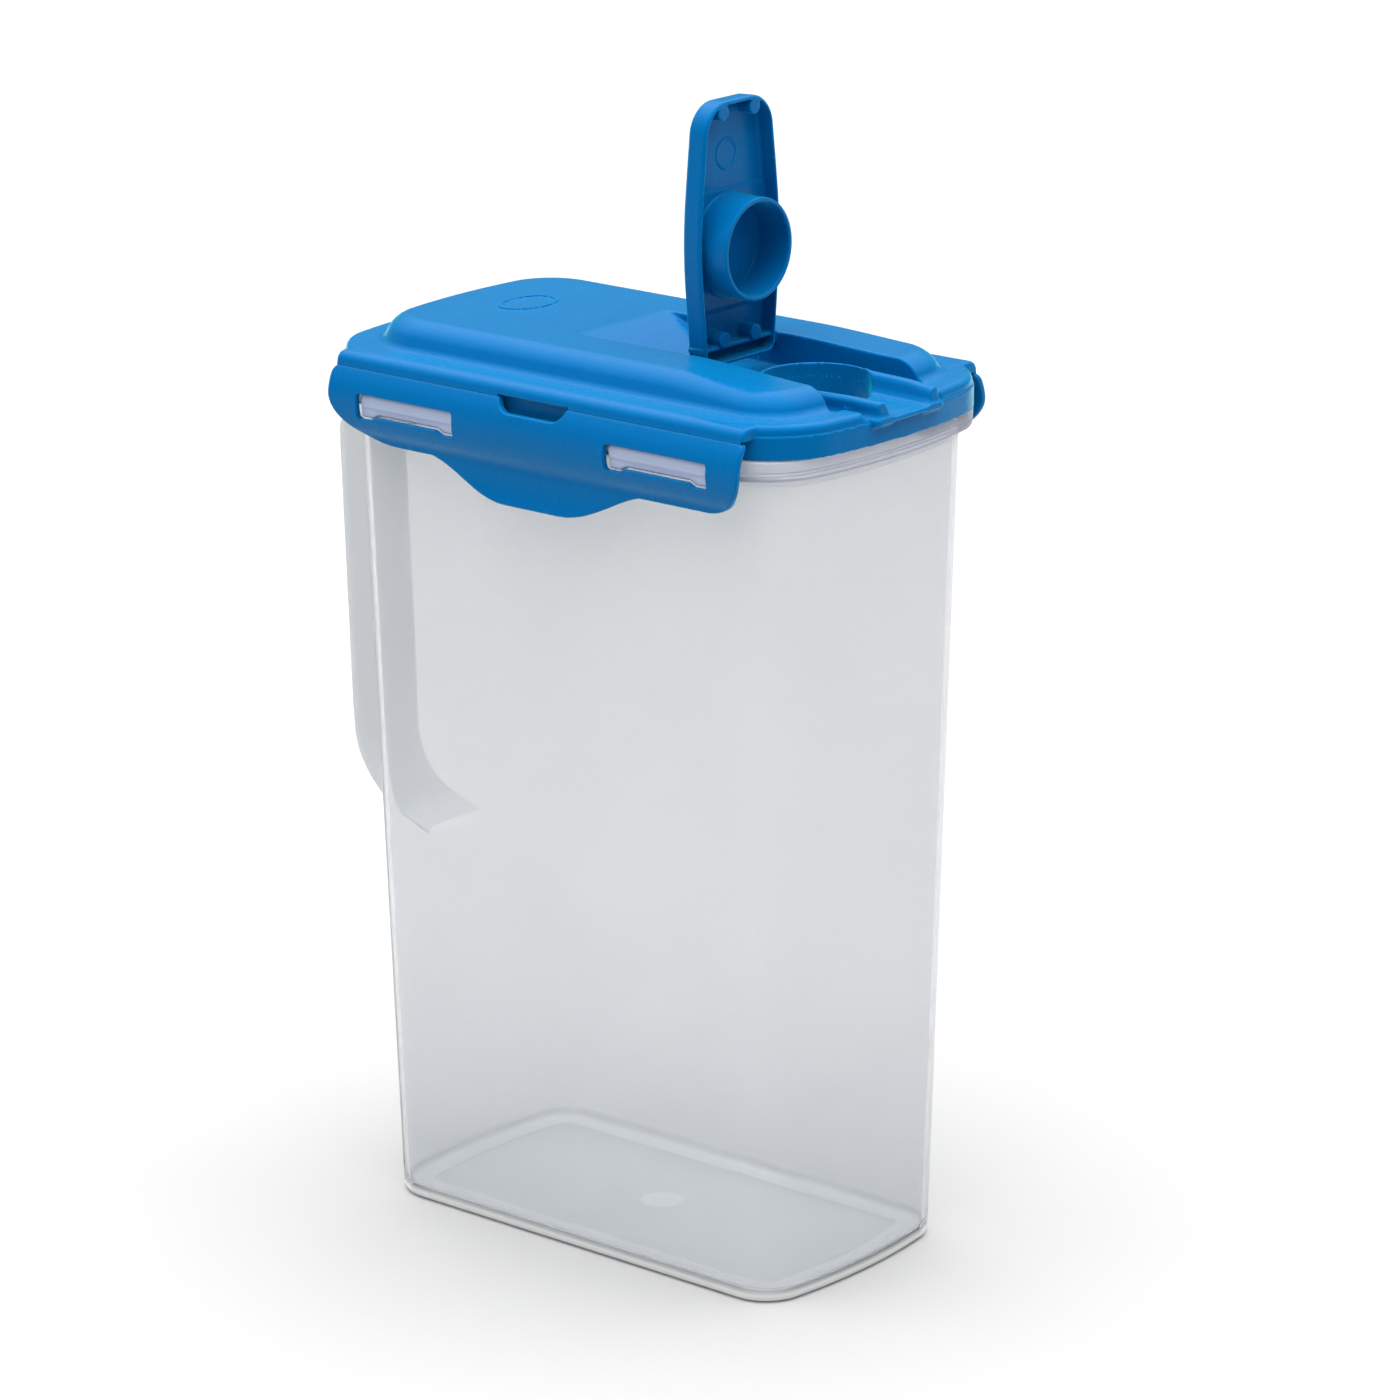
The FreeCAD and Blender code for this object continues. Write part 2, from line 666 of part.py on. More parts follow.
    collar_disc = free_sketch("collar_outline", "XY", "trough_floor")
    circle(collar_disc, "hole_place", "0", "collar_radius")
    collar_round = prism("collar_disc", collar_disc, "collar_top - trough_floor")
    collar_back = box(
        "collar_back",
        ("hole_place - collar_radius", "0 - collar_radius", "trough_floor"),
        ("ridge_start + 1", "collar_radius", "collar_top"),
    )
    collar = shared("collar", collar_round, collar_back)
    ridges = []
    for name, side in (("front", "~"), ("rear", "")):
        plan = free_sketch(f"ridge_{name}_plan", "XY", "trough_floor")
        polygon(
            plan,
            [
                ("ridge_start", f"{side}ridge_start_outer"),
                ("ridge_end", f"{side}ridge_end_outer"),
                ("ridge_end", f"{side}ridge_end_outer - ridge_thick"),
                ("ridge_start", f"{side}ridge_start_outer - ridge_thick"),
            ],
        )
        ridges.append(prism(f"ridge_{name}", plan, "collar_top - trough_floor"))

    open_lid = joined("lid_open", cut("lid_troughed", solid, trough), collar, *ridges)
    holes = []
    for name, place in (("hole", "hole_place"), ("hole_front", "hole_place + hole_relief")):
        ring = free_sketch(f"pour_{name}_outline", "XY", "tube_low - 1")
        circle(ring, place, "0", "hole_radius")
        holes.append(prism(f"pour_{name}", ring, "collar_top - tube_low + 2"))
    sockets = doc.addObject("Part::Cylinder", "hinge_sockets")
    bind(sockets, "Radius", "socket_radius")
    bind(sockets, "Height", "socket_reach + socket_reach")
    sockets.Placement.Rotation = FreeCAD.Rotation(V(1, 0, 0), -QUARTER_TURN)
    bind(sockets, "Placement.Base.x", "pivot_x")
    bind(sockets, "Placement.Base.y", "0 - socket_reach")
    bind(sockets, "Placement.Base.z", "pivot_z")
    return cut("lid", open_lid, joined("lid_openings", *holes, sockets))


def make_gasket():
    """The silicone ring between the container's sealing rim and the lid's deck."""
    body = doc.addObject("PartDesign::Body", "lid_gasket")
    outline = body_sketch(body, "gasket_outline", "XY", "rim_top")
    bowed_outline(outline, "seal_length", "seal_width", "seal_corner", "mouth_bow")
    pad(body, outline, "deck_low - rim_top")
    inside = body_sketch(body, "gasket_inside", "XY", "deck_low")
    bowed_outline(
        inside, "seal_length - seal_band", "seal_width - seal_band", "seal_corner - seal_band", "mouth_bow"
    )
    pocket(body, inside, "deck_low - rim_top")
    return body


# ---------------------------------------------------------------- pour cap

CAP_SIDE = [
    ("cap_waist", "cap_waist_low"),
    ("cap_waist", "cap_waist_high"),
    ("cap_neck", "cap_neck_high"),
]


def cap_outline(sketch, inset):
    """The upright cap's outline in Y and Z: straight flanks, with round corners at both ends."""
    tip = SIZE["cap_tip"] - (SIZE["cap_wall"] if inset else 0)
    low = SIZE["cap_low"] + (SIZE["cap_wall"] if inset else 0)
    less = SIZE["cap_wall"] if inset else 0
    minus = " - cap_wall" if inset else ""
    plus = " + cap_wall" if inset else ""
    nose_round = SIZE["cap_nose_round"] - less
    heel_round = SIZE["cap_heel_round"] - less
    nose = SIZE["cap_nose"] - less
    heel = SIZE["cap_heel"] - less
    quarter = math.pi / 2
    flank = [(number_at(side) - less, number_at(up)) for side, up in CAP_SIDE]

    def line(a, b):
        return sketch.addGeometry(Part.LineSegment(V(*a, 0), V(*b, 0)), False)

    def arc(y, z, size, start, stop):
        ring = Part.Circle(V(y, z, 0), V(0, 0, 1), size)
        return sketch.addGeometry(Part.ArcOfCircle(ring, start, stop), False)

    right = [(heel, low + heel_round)] + flank + [(nose, tip - nose_round)]
    left = [(-y, z) for y, z in reversed(right)]
    rise = [line(a, b) for a, b in zip(right, right[1:])]
    nose_right = arc(nose - nose_round, tip - nose_round, nose_round, 0, quarter)
    top = line((nose - nose_round, tip), (nose_round - nose, tip))
    nose_left = arc(nose_round - nose, tip - nose_round, nose_round, quarter, 2 * quarter)
    fall = [line(a, b) for a, b in zip(left, left[1:])]
    heel_left = arc(heel_round - heel, low + heel_round, heel_round, 2 * quarter, 3 * quarter)
    bottom = line((heel_round - heel, low), (heel - heel_round, low))
    heel_right = arc(heel - heel_round, low + heel_round, heel_round, 3 * quarter, 4 * quarter)

    chain = rise + [nose_right, top, nose_left] + fall + [heel_left, bottom, heel_right]
    backwards = set()
    for first, second in zip(chain, chain[1:] + chain[:1]):
        ends = (1 if first in backwards else 2, 2 if second in backwards else 1)
        sketch.addConstraint(Sketcher.Constraint("Coincident", first, ends[0], second, ends[1]))
    words_right = [("cap_heel" + minus, "cap_low + cap_heel_round")]
    words_right += [(side + minus, up) for side, up in CAP_SIDE]
    words_right += [("cap_nose" + minus, "cap_tip - cap_nose_round")]
    for edge, (side, up) in zip(rise + [nose_right], words_right):
        pin_point(sketch, edge, 1, side, up)
    for edge, (side, up) in zip(fall + [heel_left], reversed(words_right)):
        pin_point(sketch, edge, 1, "~" + side, up)
    pin_point(sketch, top, 1, "cap_nose - cap_nose_round", "cap_tip" + minus)
    pin_point(sketch, top, 2, "~cap_nose - cap_nose_round", "cap_tip" + minus)
    pin_point(sketch, bottom, 1, "~cap_heel - cap_heel_round", "cap_low" + plus)
    pin_point(sketch, bottom, 2, "cap_heel - cap_heel_round", "cap_low" + plus)
    for bent, words in (
        (nose_right, "cap_nose_round"),
        (nose_left, "cap_nose_round"),
        (heel_left, "cap_heel_round"),
        (heel_right, "cap_heel_round"),
    ):
        sketch.addConstraint(Sketcher.Constraint("Radius", bent, value_of(words + minus)))
        bind_last(sketch, words + minus)
    return sketch


def make_cap():
    """The flip-up pour cap standing open: a shallow tray with pegs, a heel rib and two hinge pins."""
    body = doc.addObject("PartDesign::Body", "pour_cap")
    outline = body_sketch(body, "cap_outline", "YZ", "cap_back")
    cap_outline(outline, inset=False)
    pad(body, outline, "cap_rim - cap_back")
    inside = body_sketch(body, "cap_inside", "YZ", "cap_rim")
    cap_outline(inside, inset=True)
    pocket(body, inside, "cap_rim - cap_back - cap_plate")

    for name, side, height in (
        ("low_left", "~peg_side", "peg_low"),
        ("low_right", "peg_side", "peg_low"),
        ("high_left", "~peg_side", "peg_high"),
        ("high_right", "peg_side", "peg_high"),
    ):
        peg = body_sketch(body, f"peg_{name}", "YZ", "cap_back + cap_plate")
        circle(peg, side, height, "peg_radius")
        pad(body, peg, "cap_rim - cap_back - cap_plate")
    rib = body_sketch(body, "heel_rib", "YZ", "cap_back + cap_plate")
    polygon(
        rib,
        [
            ("~cap_heel - cap_wall", "heel_rib_low"),
            ("cap_heel - cap_wall", "heel_rib_low"),
            ("cap_heel - cap_wall", "heel_rib_high"),
            ("~cap_heel - cap_wall", "heel_rib_high"),
        ],
    )
    pad(body, rib, "cap_rim - cap_back - cap_plate - 1")

    pin = body_sketch(body, "hinge_pins", "XZ")
    circle(pin, "pivot_x", "pivot_z", "pin_radius")
    pins = pad(body, pin, "pin_reach + pin_reach")
    pins.SideType = "Symmetric"
    return body


def make_plug():
    """The round plug on the cap's inner face, an open tube that seals the pour hole."""
    body = doc.addObject("PartDesign::Body", "cap_plug")
    tube = body_sketch(body, "plug_outline", "YZ", "cap_back + cap_plate")
    circle(tube, "0", "plug_place", "plug_radius")
    circle(tube, "0", "plug_place", "plug_bore")
    pad(body, tube, "plug_end - cap_back - cap_plate")
    return body


# ---------------------------------------------------------------- latches


def latch_section():
    """The latch's cross-section in Y and Z on the rear side, as a closed face.

    The outer face bulges out from the hinge line, tucks in under the flange and flares out again
    along the finger tab. The inner face follows it one thickness further in.
    """
    top, thick = SIZE["latch_top"], SIZE["latch_thick"]
    low, tuck = SIZE["tab_low"], SIZE["latch_tuck_z"]
    flare = (tuck + low) / 2
    bow = SIZE["tab_bow"]

    def point(y, z):
        return V(0, y, z)

    outer_top = point(SIZE["latch_hinge"], top)
    inner_top = point(SIZE["latch_inner_top"], top)
    outer_tuck = point(SIZE["latch_tuck"], tuck)
    inner_tuck = point(SIZE["latch_tuck"] - thick, tuck)
    outer_low = point(SIZE["tab_face"], low)
    inner_low = point(SIZE["tab_face"] - thick, low)
    outer_bulge = point(SIZE["latch_bulge"], SIZE["latch_bulge_z"])
    inner_bulge = point(SIZE["latch_bulge"] - thick, SIZE["latch_bulge_z"])
    outer_flare = point((SIZE["latch_tuck"] + SIZE["tab_face"]) / 2 - bow, flare)
    inner_flare = point((SIZE["latch_tuck"] + SIZE["tab_face"]) / 2 - bow - thick, flare)
    edges = [
        Part.Arc(outer_top, outer_bulge, outer_tuck).toShape(),
        Part.Arc(outer_tuck, outer_flare, outer_low).toShape(),
        Part.LineSegment(outer_low, inner_low).toShape(),
        Part.Arc(inner_low, inner_flare, inner_tuck).toShape(),
        Part.Arc(inner_tuck, inner_bulge, inner_top).toShape(),
        Part.LineSegment(inner_top, outer_top).toShape(),
    ]
    return Part.Face(Part.Wire(edges))


def latch_front_view():
    """The latch seen square on, in X and Z: round lower corners and a finger tab in the middle."""
    length, corner = SIZE["latch_length"], SIZE["latch_corner"]
    top, low, tab = SIZE["latch_top"] + 1, SIZE["latch_low"], SIZE["tab_low"] - 1
    root, half = SIZE["tab_root"], SIZE["tab_half"]
    tilt = math.radians(45)
    slack = 1 - math.sin(tilt)
    lift = 2  # the lower edge's ends lie this far above the bottom of the view

    def point(x, z):
        return V(x, 0, z)

    def side(sign):
        end = point(sign * length, low + corner)
        mid = point(sign * (length - corner * slack), low + corner * slack)
        start = point(sign * (length - corner), low)
        shoulder = point(sign * root, low)
        edge = point(sign * half, tab + lift)
        curve = Part.BezierCurve()
        reach = (root - half) * 0.55
        leave = point(sign * (root - reach), low)
        arrive = point(sign * (half + reach), tab + lift + 0.4)
        curve.setPoles([shoulder, leave, arrive, edge])
        return end, mid, start, shoulder, curve, edge

    end_r, mid_r, start_r, shoulder_r, curve_r, edge_r = side(1)
    end_l, mid_l, start_l, shoulder_l, curve_l, edge_l = side(-1)
    bottom = Part.Arc(edge_r, point(0, tab + lift / 2), edge_l)
    edges = [
        Part.LineSegment(point(-length, top), point(length, top)).toShape(),
        Part.LineSegment(point(length, top), end_r).toShape(),
        Part.Arc(end_r, mid_r, start_r).toShape(),
        Part.LineSegment(start_r, shoulder_r).toShape(),
        curve_r.toShape(),
        bottom.toShape(),
        curve_l.toShape(),
        Part.LineSegment(shoulder_l, start_l).toShape(),
        Part.Arc(start_l, mid_l, end_l).toShape(),
        Part.LineSegment(end_l, point(-length, top)).toShape(),
    ]
    return Part.Face(Part.Wire(Part.sortEdges(edges)[0]))


def latch_slots():
    """The two slots for the container's lugs and the notch on the hinge line, as cutting blocks."""
    depth = 2 * SIZE["latch_thick"] + 12
    start = SIZE["latch_inner_top"] - 6
    height = SIZE["slot_high"] - SIZE["slot_low"]
    length = SIZE["slot_outer"] - SIZE["slot_inner"]
    blocks = []
    for x in (SIZE["slot_inner"], -SIZE["slot_outer"]):
        block = Part.makeBox(length, depth, height, V(x, start, SIZE["slot_low"]))
        uprights = [edge for edge in block.Edges if edge.BoundBox.YLength > depth / 2]
        blocks.append(block.makeFillet(SIZE["slot_round"], uprights))
    half, low = SIZE["notch_half"], SIZE["notch_low"]
    notch = Part.makeBox(2 * half, depth, SIZE["latch_top"] + 1 - low, V(-half, start, low))
    lower = [
        edge
        for edge in notch.Edges
        if edge.BoundBox.YLength > depth / 2 and edge.BoundBox.ZMax < low + 0.1
    ]
    blocks.append(notch.makeFillet(SIZE["notch_round"], lower))
    return blocks


def make_latches():
    """The rear latch as one solid, and the front latch as its mirror image."""
    length = SIZE["latch_length"]
    bar = latch_section().extrude(V(2 * length, 0, 0))
    bar.translate(V(-length, 0, 0))
    face = latch_front_view()
    face.translate(V(0, SIZE["latch_inner_top"] - 10, 0))
    silhouette = face.extrude(V(0, 30, 0))
    shape = bar.common(silhouette)
    for block in latch_slots():
        shape = shape.cut(block)
    rear = doc.addObject("Part::Feature", "latch_rear")
    rear.Shape = shape.Solids[0]
    rear.Placement = FreeCAD.Placement()
    front = doc.addObject("Part::Mirroring", "latch_front")
    front.Source = rear
    front.Normal = V(0, 1, 0)
    return front, rear


# ---------------------------------------------------------------- build and write

container = make_container()
handle = make_handle(container)
lid = make_lid()
gasket = make_gasket()
cap = make_cap()
plug = make_plug()
latch_front, latch_rear = make_latches()
doc.recompute()

NODES = {
    "container": container,
    "handle": handle,
    "lid": lid,
    "lid_gasket": gasket,
    "pour_cap": cap,
    "cap_plug": plug,
    "latch_front": latch_front,
    "latch_rear": latch_rear,
}

for thing in doc.Objects:
    if {"Invalid", "Error"} & set(thing.State):
        raise RuntimeError(f"{thing.Name} failed: {thing.State}")
for name, node in NODES.items():
    node.Label = name
    if node.Shape.isNull() or not node.Shape.isValid():
        raise RuntimeError(f"{name} has no valid shape")
    if len(node.Shape.Solids) != 1:
        raise RuntimeError(f"{name} has {len(node.Shape.Solids)} solids")

measured(container, 220, 240)
measured(handle, 10, 13)
measured(lid, 55, 64)
measured(gasket, 3.4, 4.2)
measured(cap, 5.3, 6.3)
measured(plug, 1.2, 1.6)
measured(latch_rear, 4, 4.8)

os.makedirs("parts", exist_ok=True)
for name, node in NODES.items():
    node.Shape.exportStep(f"parts/{name}.step")
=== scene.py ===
"""The looks of a clip-lock fridge jug: a translucent container and a satin blue lid, latches and pour cap.

Lengths are millimetres until a mesh is made. +X is the pouring end, -X the handle end, +Z up.
"""
import math

import bpy
import numpy as np
from mathutils import Matrix, Vector


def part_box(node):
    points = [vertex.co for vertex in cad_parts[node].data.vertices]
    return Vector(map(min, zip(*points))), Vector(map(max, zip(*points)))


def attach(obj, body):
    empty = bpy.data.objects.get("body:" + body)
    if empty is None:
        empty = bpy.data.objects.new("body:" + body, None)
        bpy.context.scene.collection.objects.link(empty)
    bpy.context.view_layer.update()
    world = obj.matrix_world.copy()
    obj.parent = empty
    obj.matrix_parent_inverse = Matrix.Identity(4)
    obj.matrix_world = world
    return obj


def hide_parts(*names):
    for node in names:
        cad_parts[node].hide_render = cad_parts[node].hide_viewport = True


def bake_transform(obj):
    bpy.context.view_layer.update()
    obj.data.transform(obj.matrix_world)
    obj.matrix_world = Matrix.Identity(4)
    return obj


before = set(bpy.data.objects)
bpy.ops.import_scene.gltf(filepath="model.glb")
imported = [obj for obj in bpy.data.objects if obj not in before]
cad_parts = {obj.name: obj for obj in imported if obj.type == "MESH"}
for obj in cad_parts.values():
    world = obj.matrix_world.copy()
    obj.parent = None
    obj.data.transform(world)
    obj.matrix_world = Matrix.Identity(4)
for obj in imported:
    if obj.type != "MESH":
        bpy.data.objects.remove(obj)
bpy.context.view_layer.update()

MM = 0.001
QUARTER = math.pi / 2
FINE_SETBACK, FINE_STEPS, ROUND_STEPS = 0.5, 3, 7


def corners(node):
    """A CAD node's lowest and highest corners at rest, in millimetres."""
    low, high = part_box(node)
    return low / MM, high / MM


# ---------------------------------------------------------------- outlines


class Outline:
    """A rectangle along X with rounded corners and bowed short ends."""

    def __init__(self, length, width, corner, bow):
        self.length, self.width, self.corner, self.bow = length, width, corner, bow

    def inset(self, depth):
        return Outline(self.length - depth, self.width - depth, self.corner - depth, self.bow - depth)

    def toward(self, other, share):
        """An outline between two others; share may be an array."""
        mixed = (
            getattr(self, name) + (getattr(other, name) - getattr(self, name)) * share
            for name in ("length", "width", "corner", "bow")
        )
        return Outline(*mixed)

    def distance(self, x, y):
        """Signed distance from the outline, negative inside."""
        side = np.abs(y) - (self.width - self.corner)
        end = np.hypot(np.abs(x) - (self.length - self.bow), y) - (self.bow - self.corner)
        outside = np.hypot(np.maximum(side, 0), np.maximum(end, 0))
        return np.minimum(np.maximum(side, end), 0) + outside - self.corner

    def points(self, bow_steps=8, corner_steps=14, side_steps=14):
        """Points round the outline; the same count whatever its size, so that rings join as quads."""
        centre = self.length - self.bow
        corner_y = self.width - self.corner
        corner_x = centre + math.sqrt(max((self.bow - self.corner) ** 2 - corner_y**2, 0))
        sweep = math.atan2(corner_y, corner_x - centre)
        bowed = np.linspace(0, sweep, bow_steps, endpoint=False)
        round_ = np.linspace(sweep, QUARTER, corner_steps, endpoint=False)
        straight = np.linspace(corner_x, 0, side_steps, endpoint=False)
        quarter = np.concatenate(
            [
                np.stack([centre + self.bow * np.cos(bowed), self.bow * np.sin(bowed)], 1),
                np.stack(
                    [corner_x + self.corner * np.cos(round_), corner_y + self.corner * np.sin(round_)], 1
                ),
                np.stack([straight, np.full(side_steps, self.width)], 1),
                [[0, self.width]],
            ]
        )
        half = np.concatenate([quarter, quarter[-2:0:-1] * (-1, 1), [[-self.length, 0]]])
        return np.concatenate([half, half[-2:0:-1] * (1, -1)])


# ---------------------------------------------------------------- fields


def joined(a, b, radius):
    """Two fields as one body, with a fillet of that radius where they meet."""
    return np.maximum(radius, np.minimum(a, b)) - np.hypot(
        np.maximum(radius - a, 0), np.maximum(radius - b, 0)
    )


def shared(a, b, radius):
    """What two fields have in common, with a rounding of that radius along the edge."""
    return np.minimum(-radius, np.maximum(a, b)) + np.hypot(
        np.maximum(radius + a, 0), np.maximum(radius + b, 0)
    )


def carved(body, tool, radius):
    return shared(body, -tool, radius)


def between(value, low, high):
    return np.maximum(low - value, value - high)


def smooth_step(value, start, stop):
    share = np.clip((value - start) / (stop - start), 0, 1)
    return share * share * (3 - 2 * share)


def circle_through(a, b, c):
    """Centre and radius of the circle through three points."""
    (ax, ay), (bx, by), (cx, cy) = a, b, c
    twice = 2 * (ax * (by - cy) + bx * (cy - ay) + cx * (ay - by))
    a2, b2, c2 = ax * ax + ay * ay, bx * bx + by * by, cx * cx + cy * cy
    x = (a2 * (by - cy) + b2 * (cy - ay) + c2 * (ay - by)) / twice
    y = (a2 * (cx - bx) + b2 * (ax - cx) + c2 * (bx - ax)) / twice
    return x, y, math.hypot(ax - x, ay - y)


# ---------------------------------------------------------------- meshing


def span(array, axis, start, stop):
    index = [slice(None)] * 3
    index[axis] = slice(start, stop)
    return array[tuple(index)]


def surface_net(field, low, high, pitch):
    """Vertices and quads of the surface where a field is zero, one vertex in each crossed cell."""
    axes = [np.arange(a - 2 * pitch, b + 3 * pitch, pitch) for a, b in zip(low, high)]
    x, y, z = axes[0][:, None, None], axes[1][None, :, None], axes[2][None, None, :]
    value = field(x, y, z) + 0 * (x + y + z)
    cells = [len(axis) - 1 for axis in axes]
    total = np.zeros(cells + [3])
    hits = np.zeros(cells)
    crossings = []
    for axis in range(3):
        second, third = (axis + 1) % 3, (axis + 2) % 3
        here, there = span(value, axis, 0, -1), span(value, axis, 1, None)
        crossed = (here < 0) != (there < 0)
        share = np.where(crossed, here / np.where(crossed, here - there, 1), 0)
        crossings.append((axis, second, third, crossed, here < 0))
        for i in (0, 1):
            for j in (0, 1):
                pick = [slice(None)] * 3
                pick[second] = slice(i, cells[second] + i)
                pick[third] = slice(j, cells[third] + j)
                hit = crossed[tuple(pick)]
                hits += hit
                total[..., axis] += share[tuple(pick)]
                total[..., second] += i * hit
                total[..., third] += j * hit
    active = hits > 0
    number = np.full(cells, -1)
    number[active] = np.arange(active.sum())
    origin = np.array([axis[0] for axis in axes])
    points = origin + pitch * (np.argwhere(active) + total[active] / hits[active][:, None])
    quads = []
    for axis, second, third, crossed, outward in crossings:
        inner = span(span(crossed, second, 1, -1), third, 1, -1)
        facing = span(span(outward, second, 1, -1), third, 1, -1)[inner]
        ring = [
            span(span(number, second, *a), third, *b)[inner]
            for a, b in (
                ((0, -1), (0, -1)),
                ((1, None), (0, -1)),
                ((1, None), (1, None)),
                ((0, -1), (1, None)),
            )
        ]
        ring = np.stack(ring, 1)
        quads.append(np.where(facing[:, None], ring, ring[:, ::-1]))
    return points, np.concatenate(quads)


def slope_at(points, field, step=0.04):
    """A field's gradient at each point."""
    parts = []
    for axis in range(3):
        ahead, behind = points.copy(), points.copy()
        ahead[:, axis] += step
        behind[:, axis] -= step
        parts.append((field(*ahead.T) - field(*behind.T)) / (2 * step))
    return np.stack(parts, 1)


def settled(points, field, reach, rounds=4):
    """Moves points on to the surface where a field is zero, each by no more than the reach."""
    start = points.copy()
    for _ in range(rounds):
        slope = slope_at(points, field)
        steep = np.maximum((slope**2).sum(1), 0.05)
        points = points - slope * (field(*points.T) / steep)[:, None]
        points = start + np.clip(points - start, -reach, reach)
    return points


def plain_object(name, points, faces):
    """An object made of points in millimetres and the faces that join them."""
    mesh = bpy.data.meshes.new(name)
    mesh.from_pydata((np.asarray(points) * MM).tolist(), [], [list(map(int, face)) for face in faces])
    mesh.update()
    thing = bpy.data.objects.new(name, mesh)
    bpy.context.collection.objects.link(thing)
    return thing


def baked(thing):
    """Applies an object's modifiers to its mesh."""
    evaluated = thing.evaluated_get(bpy.context.evaluated_depsgraph_get())
    mesh = bpy.data.meshes.new_from_object(evaluated)
    thing.modifiers.clear()
    thing.data = mesh
    return thing


def field_object(name, field, low, high, pitch, most=190000):
    """A piece whose surface is the zero of a field, with the field's own normals."""
    points, quads = surface_net(field, low, high, pitch)
    points = settled(points, field, pitch * 0.6)
    thing = plain_object(name, points, quads)
    triangles = 2 * len(quads)
    if triangles > most:
        fewer = thing.modifiers.new("fewer", "DECIMATE")
        fewer.ratio = most / triangles
        baked(thing)
    count = len(thing.data.vertices)
    points = np.empty(count * 3)
    thing.data.vertices.foreach_get("co", points)
    points = settled(points.reshape(-1, 3) / MM, field, pitch * 0.3, 2)
    thing.data.vertices.foreach_set("co", (points * MM).ravel())
    thing.data.shade_smooth()
    normals = slope_at(points, field)
    normals /= np.linalg.norm(normals, axis=1)[:, None]
    thing.data.normals_split_custom_set_from_vertices(normals.tolist())
    thing.data.update()
    print(f"{name}: {len(thing.data.polygons)} faces")
    return thing


def turned_copy(thing, name):
    """The piece turned half way round about the Z axis, normals and all."""
    mesh = thing.data
    count = len(mesh.vertices)
    points = np.empty(count * 3)
    mesh.vertices.foreach_get("co", points)
    points = points.reshape(-1, 3) * (-1, -1, 1) / MM
    copy = plain_object(name, points, [tuple(face.vertices) for face in mesh.polygons])
    corner_normals = np.empty(len(mesh.loops) * 3)
    mesh.corner_normals.foreach_get("vector", corner_normals)
    owners = np.empty(len(mesh.loops), dtype=int)
    mesh.loops.foreach_get("vertex_index", owners)
    normals = np.zeros((count, 3))
    normals[owners] = corner_normals.reshape(-1, 3) * (-1, -1, 1)
    copy.data.shade_smooth()
    copy.data.normals_split_custom_set_from_vertices(normals.tolist())
    return copy


def swept(name, rings, closed_path=False, capped=True):
    """A skin over rings of equally many points, each ring an array of points."""
    count = len(rings[0])
    points = np.concatenate(rings)
    faces = []
    last = len(rings) if closed_path else len(rings) - 1
    for row in range(last):
        here, there = row * count, (row + 1) % len(rings) * count
        for i in range(count):
            j = (i + 1) % count
            faces.append((here + i, here + j, there + j, there + i))
    if capped and not closed_path:
        faces.append(tuple(reversed(range(count))))
        faces.append(tuple(range((len(rings) - 1) * count, len(rings) * count)))
    return plain_object(name, points, faces)


def softened(path):
    """A path of (outline, z, setback) as rings, its corners rounded off over their setbacks."""
    rings = []
    for place, (outline, z, setback) in enumerate(path):
        if not setback:
            rings.append((outline, z))
            continue
        arms = []
        for other, other_z, _ in (path[place - 1], path[(place + 1) % len(path)]):
            run = max(
                math.hypot(other.length - outline.length, other_z - z),
                math.hypot(other.width - outline.width, other_z - z),
            )
            share = min(setback / run, 0.5)
            arms.append((outline.toward(other, share), z + (other_z - z) * share))
        steps = FINE_STEPS if setback < FINE_SETBACK else ROUND_STEPS
        for step in range(steps + 1):
            t = step / steps
            first = arms[0][0].toward(outline, t)
            second = outline.toward(arms[1][0], t)
            first_z = arms[0][1] + (z - arms[0][1]) * t
            second_z = z + (arms[1][1] - z) * t
            rings.append((first.toward(second, t), first_z + (second_z - first_z) * t))
    return rings


def ring_stack(path, **detail):
    """The rings of points that a path of outlines gives once its corners are rounded."""
    rings = []
    for outline, z in softened(path):
        flat = outline.points(**detail)
        rings.append(np.column_stack([flat, np.full(len(flat), z)]))
    return rings


def smooth(thing, degrees):
    """Smooth shading, with edges sharper than that angle kept sharp."""
    thing.data.shade_smooth()
    thing.data.set_sharp_from_angle(angle=math.radians(degrees))
    return thing


def weld(thing, *others):
    """Joins closed meshes into one skin and throws the others away."""
    for other in others:
        union = thing.modifiers.new("weld", "BOOLEAN")
        union.operation = "UNION"
        union.solver = "EXACT"
        union.object = other
        baked(thing)
        bpy.data.objects.remove(other)
    return thing


# ---------------------------------------------------------------- container

CONTAINER_LOW, CONTAINER_HIGH = corners("container")
HANDLE_LOW, HANDLE_HIGH = corners("handle")
RIM_TOP = CONTAINER_HIGH.z
LUG_FACE = CONTAINER_HIGH.y
BASE = Outline(75.1, 39.2, 13.5, 185.6)
MOUTH = Outline(83.5, 42.4, 15.5, 176.1)
FLANGE = Outline(CONTAINER_HIGH.x, 49, 20, 176.1)
RIM = Outline(84.9, 43.6, 16.5, 176.1)
WALL = 1.6
FLOOR = 2.2
FLANGE_LOW = 238.5
FLANGE_HIGH = 244.0
PANEL_INSET = 8.5
PANEL_STEP = 0.7
GATE = 3.2
LUG_INNER, LUG_OUTER = 27.9, 62.7
LUG_ROOT = 47.5
LUG_LOW, LUG_HIGH = 237.5, 243.15
LUG_FOOT, LUG_RISE = 5.0, 1.1
WALL_ROWS = 6
LUG_PITCH = 0.45

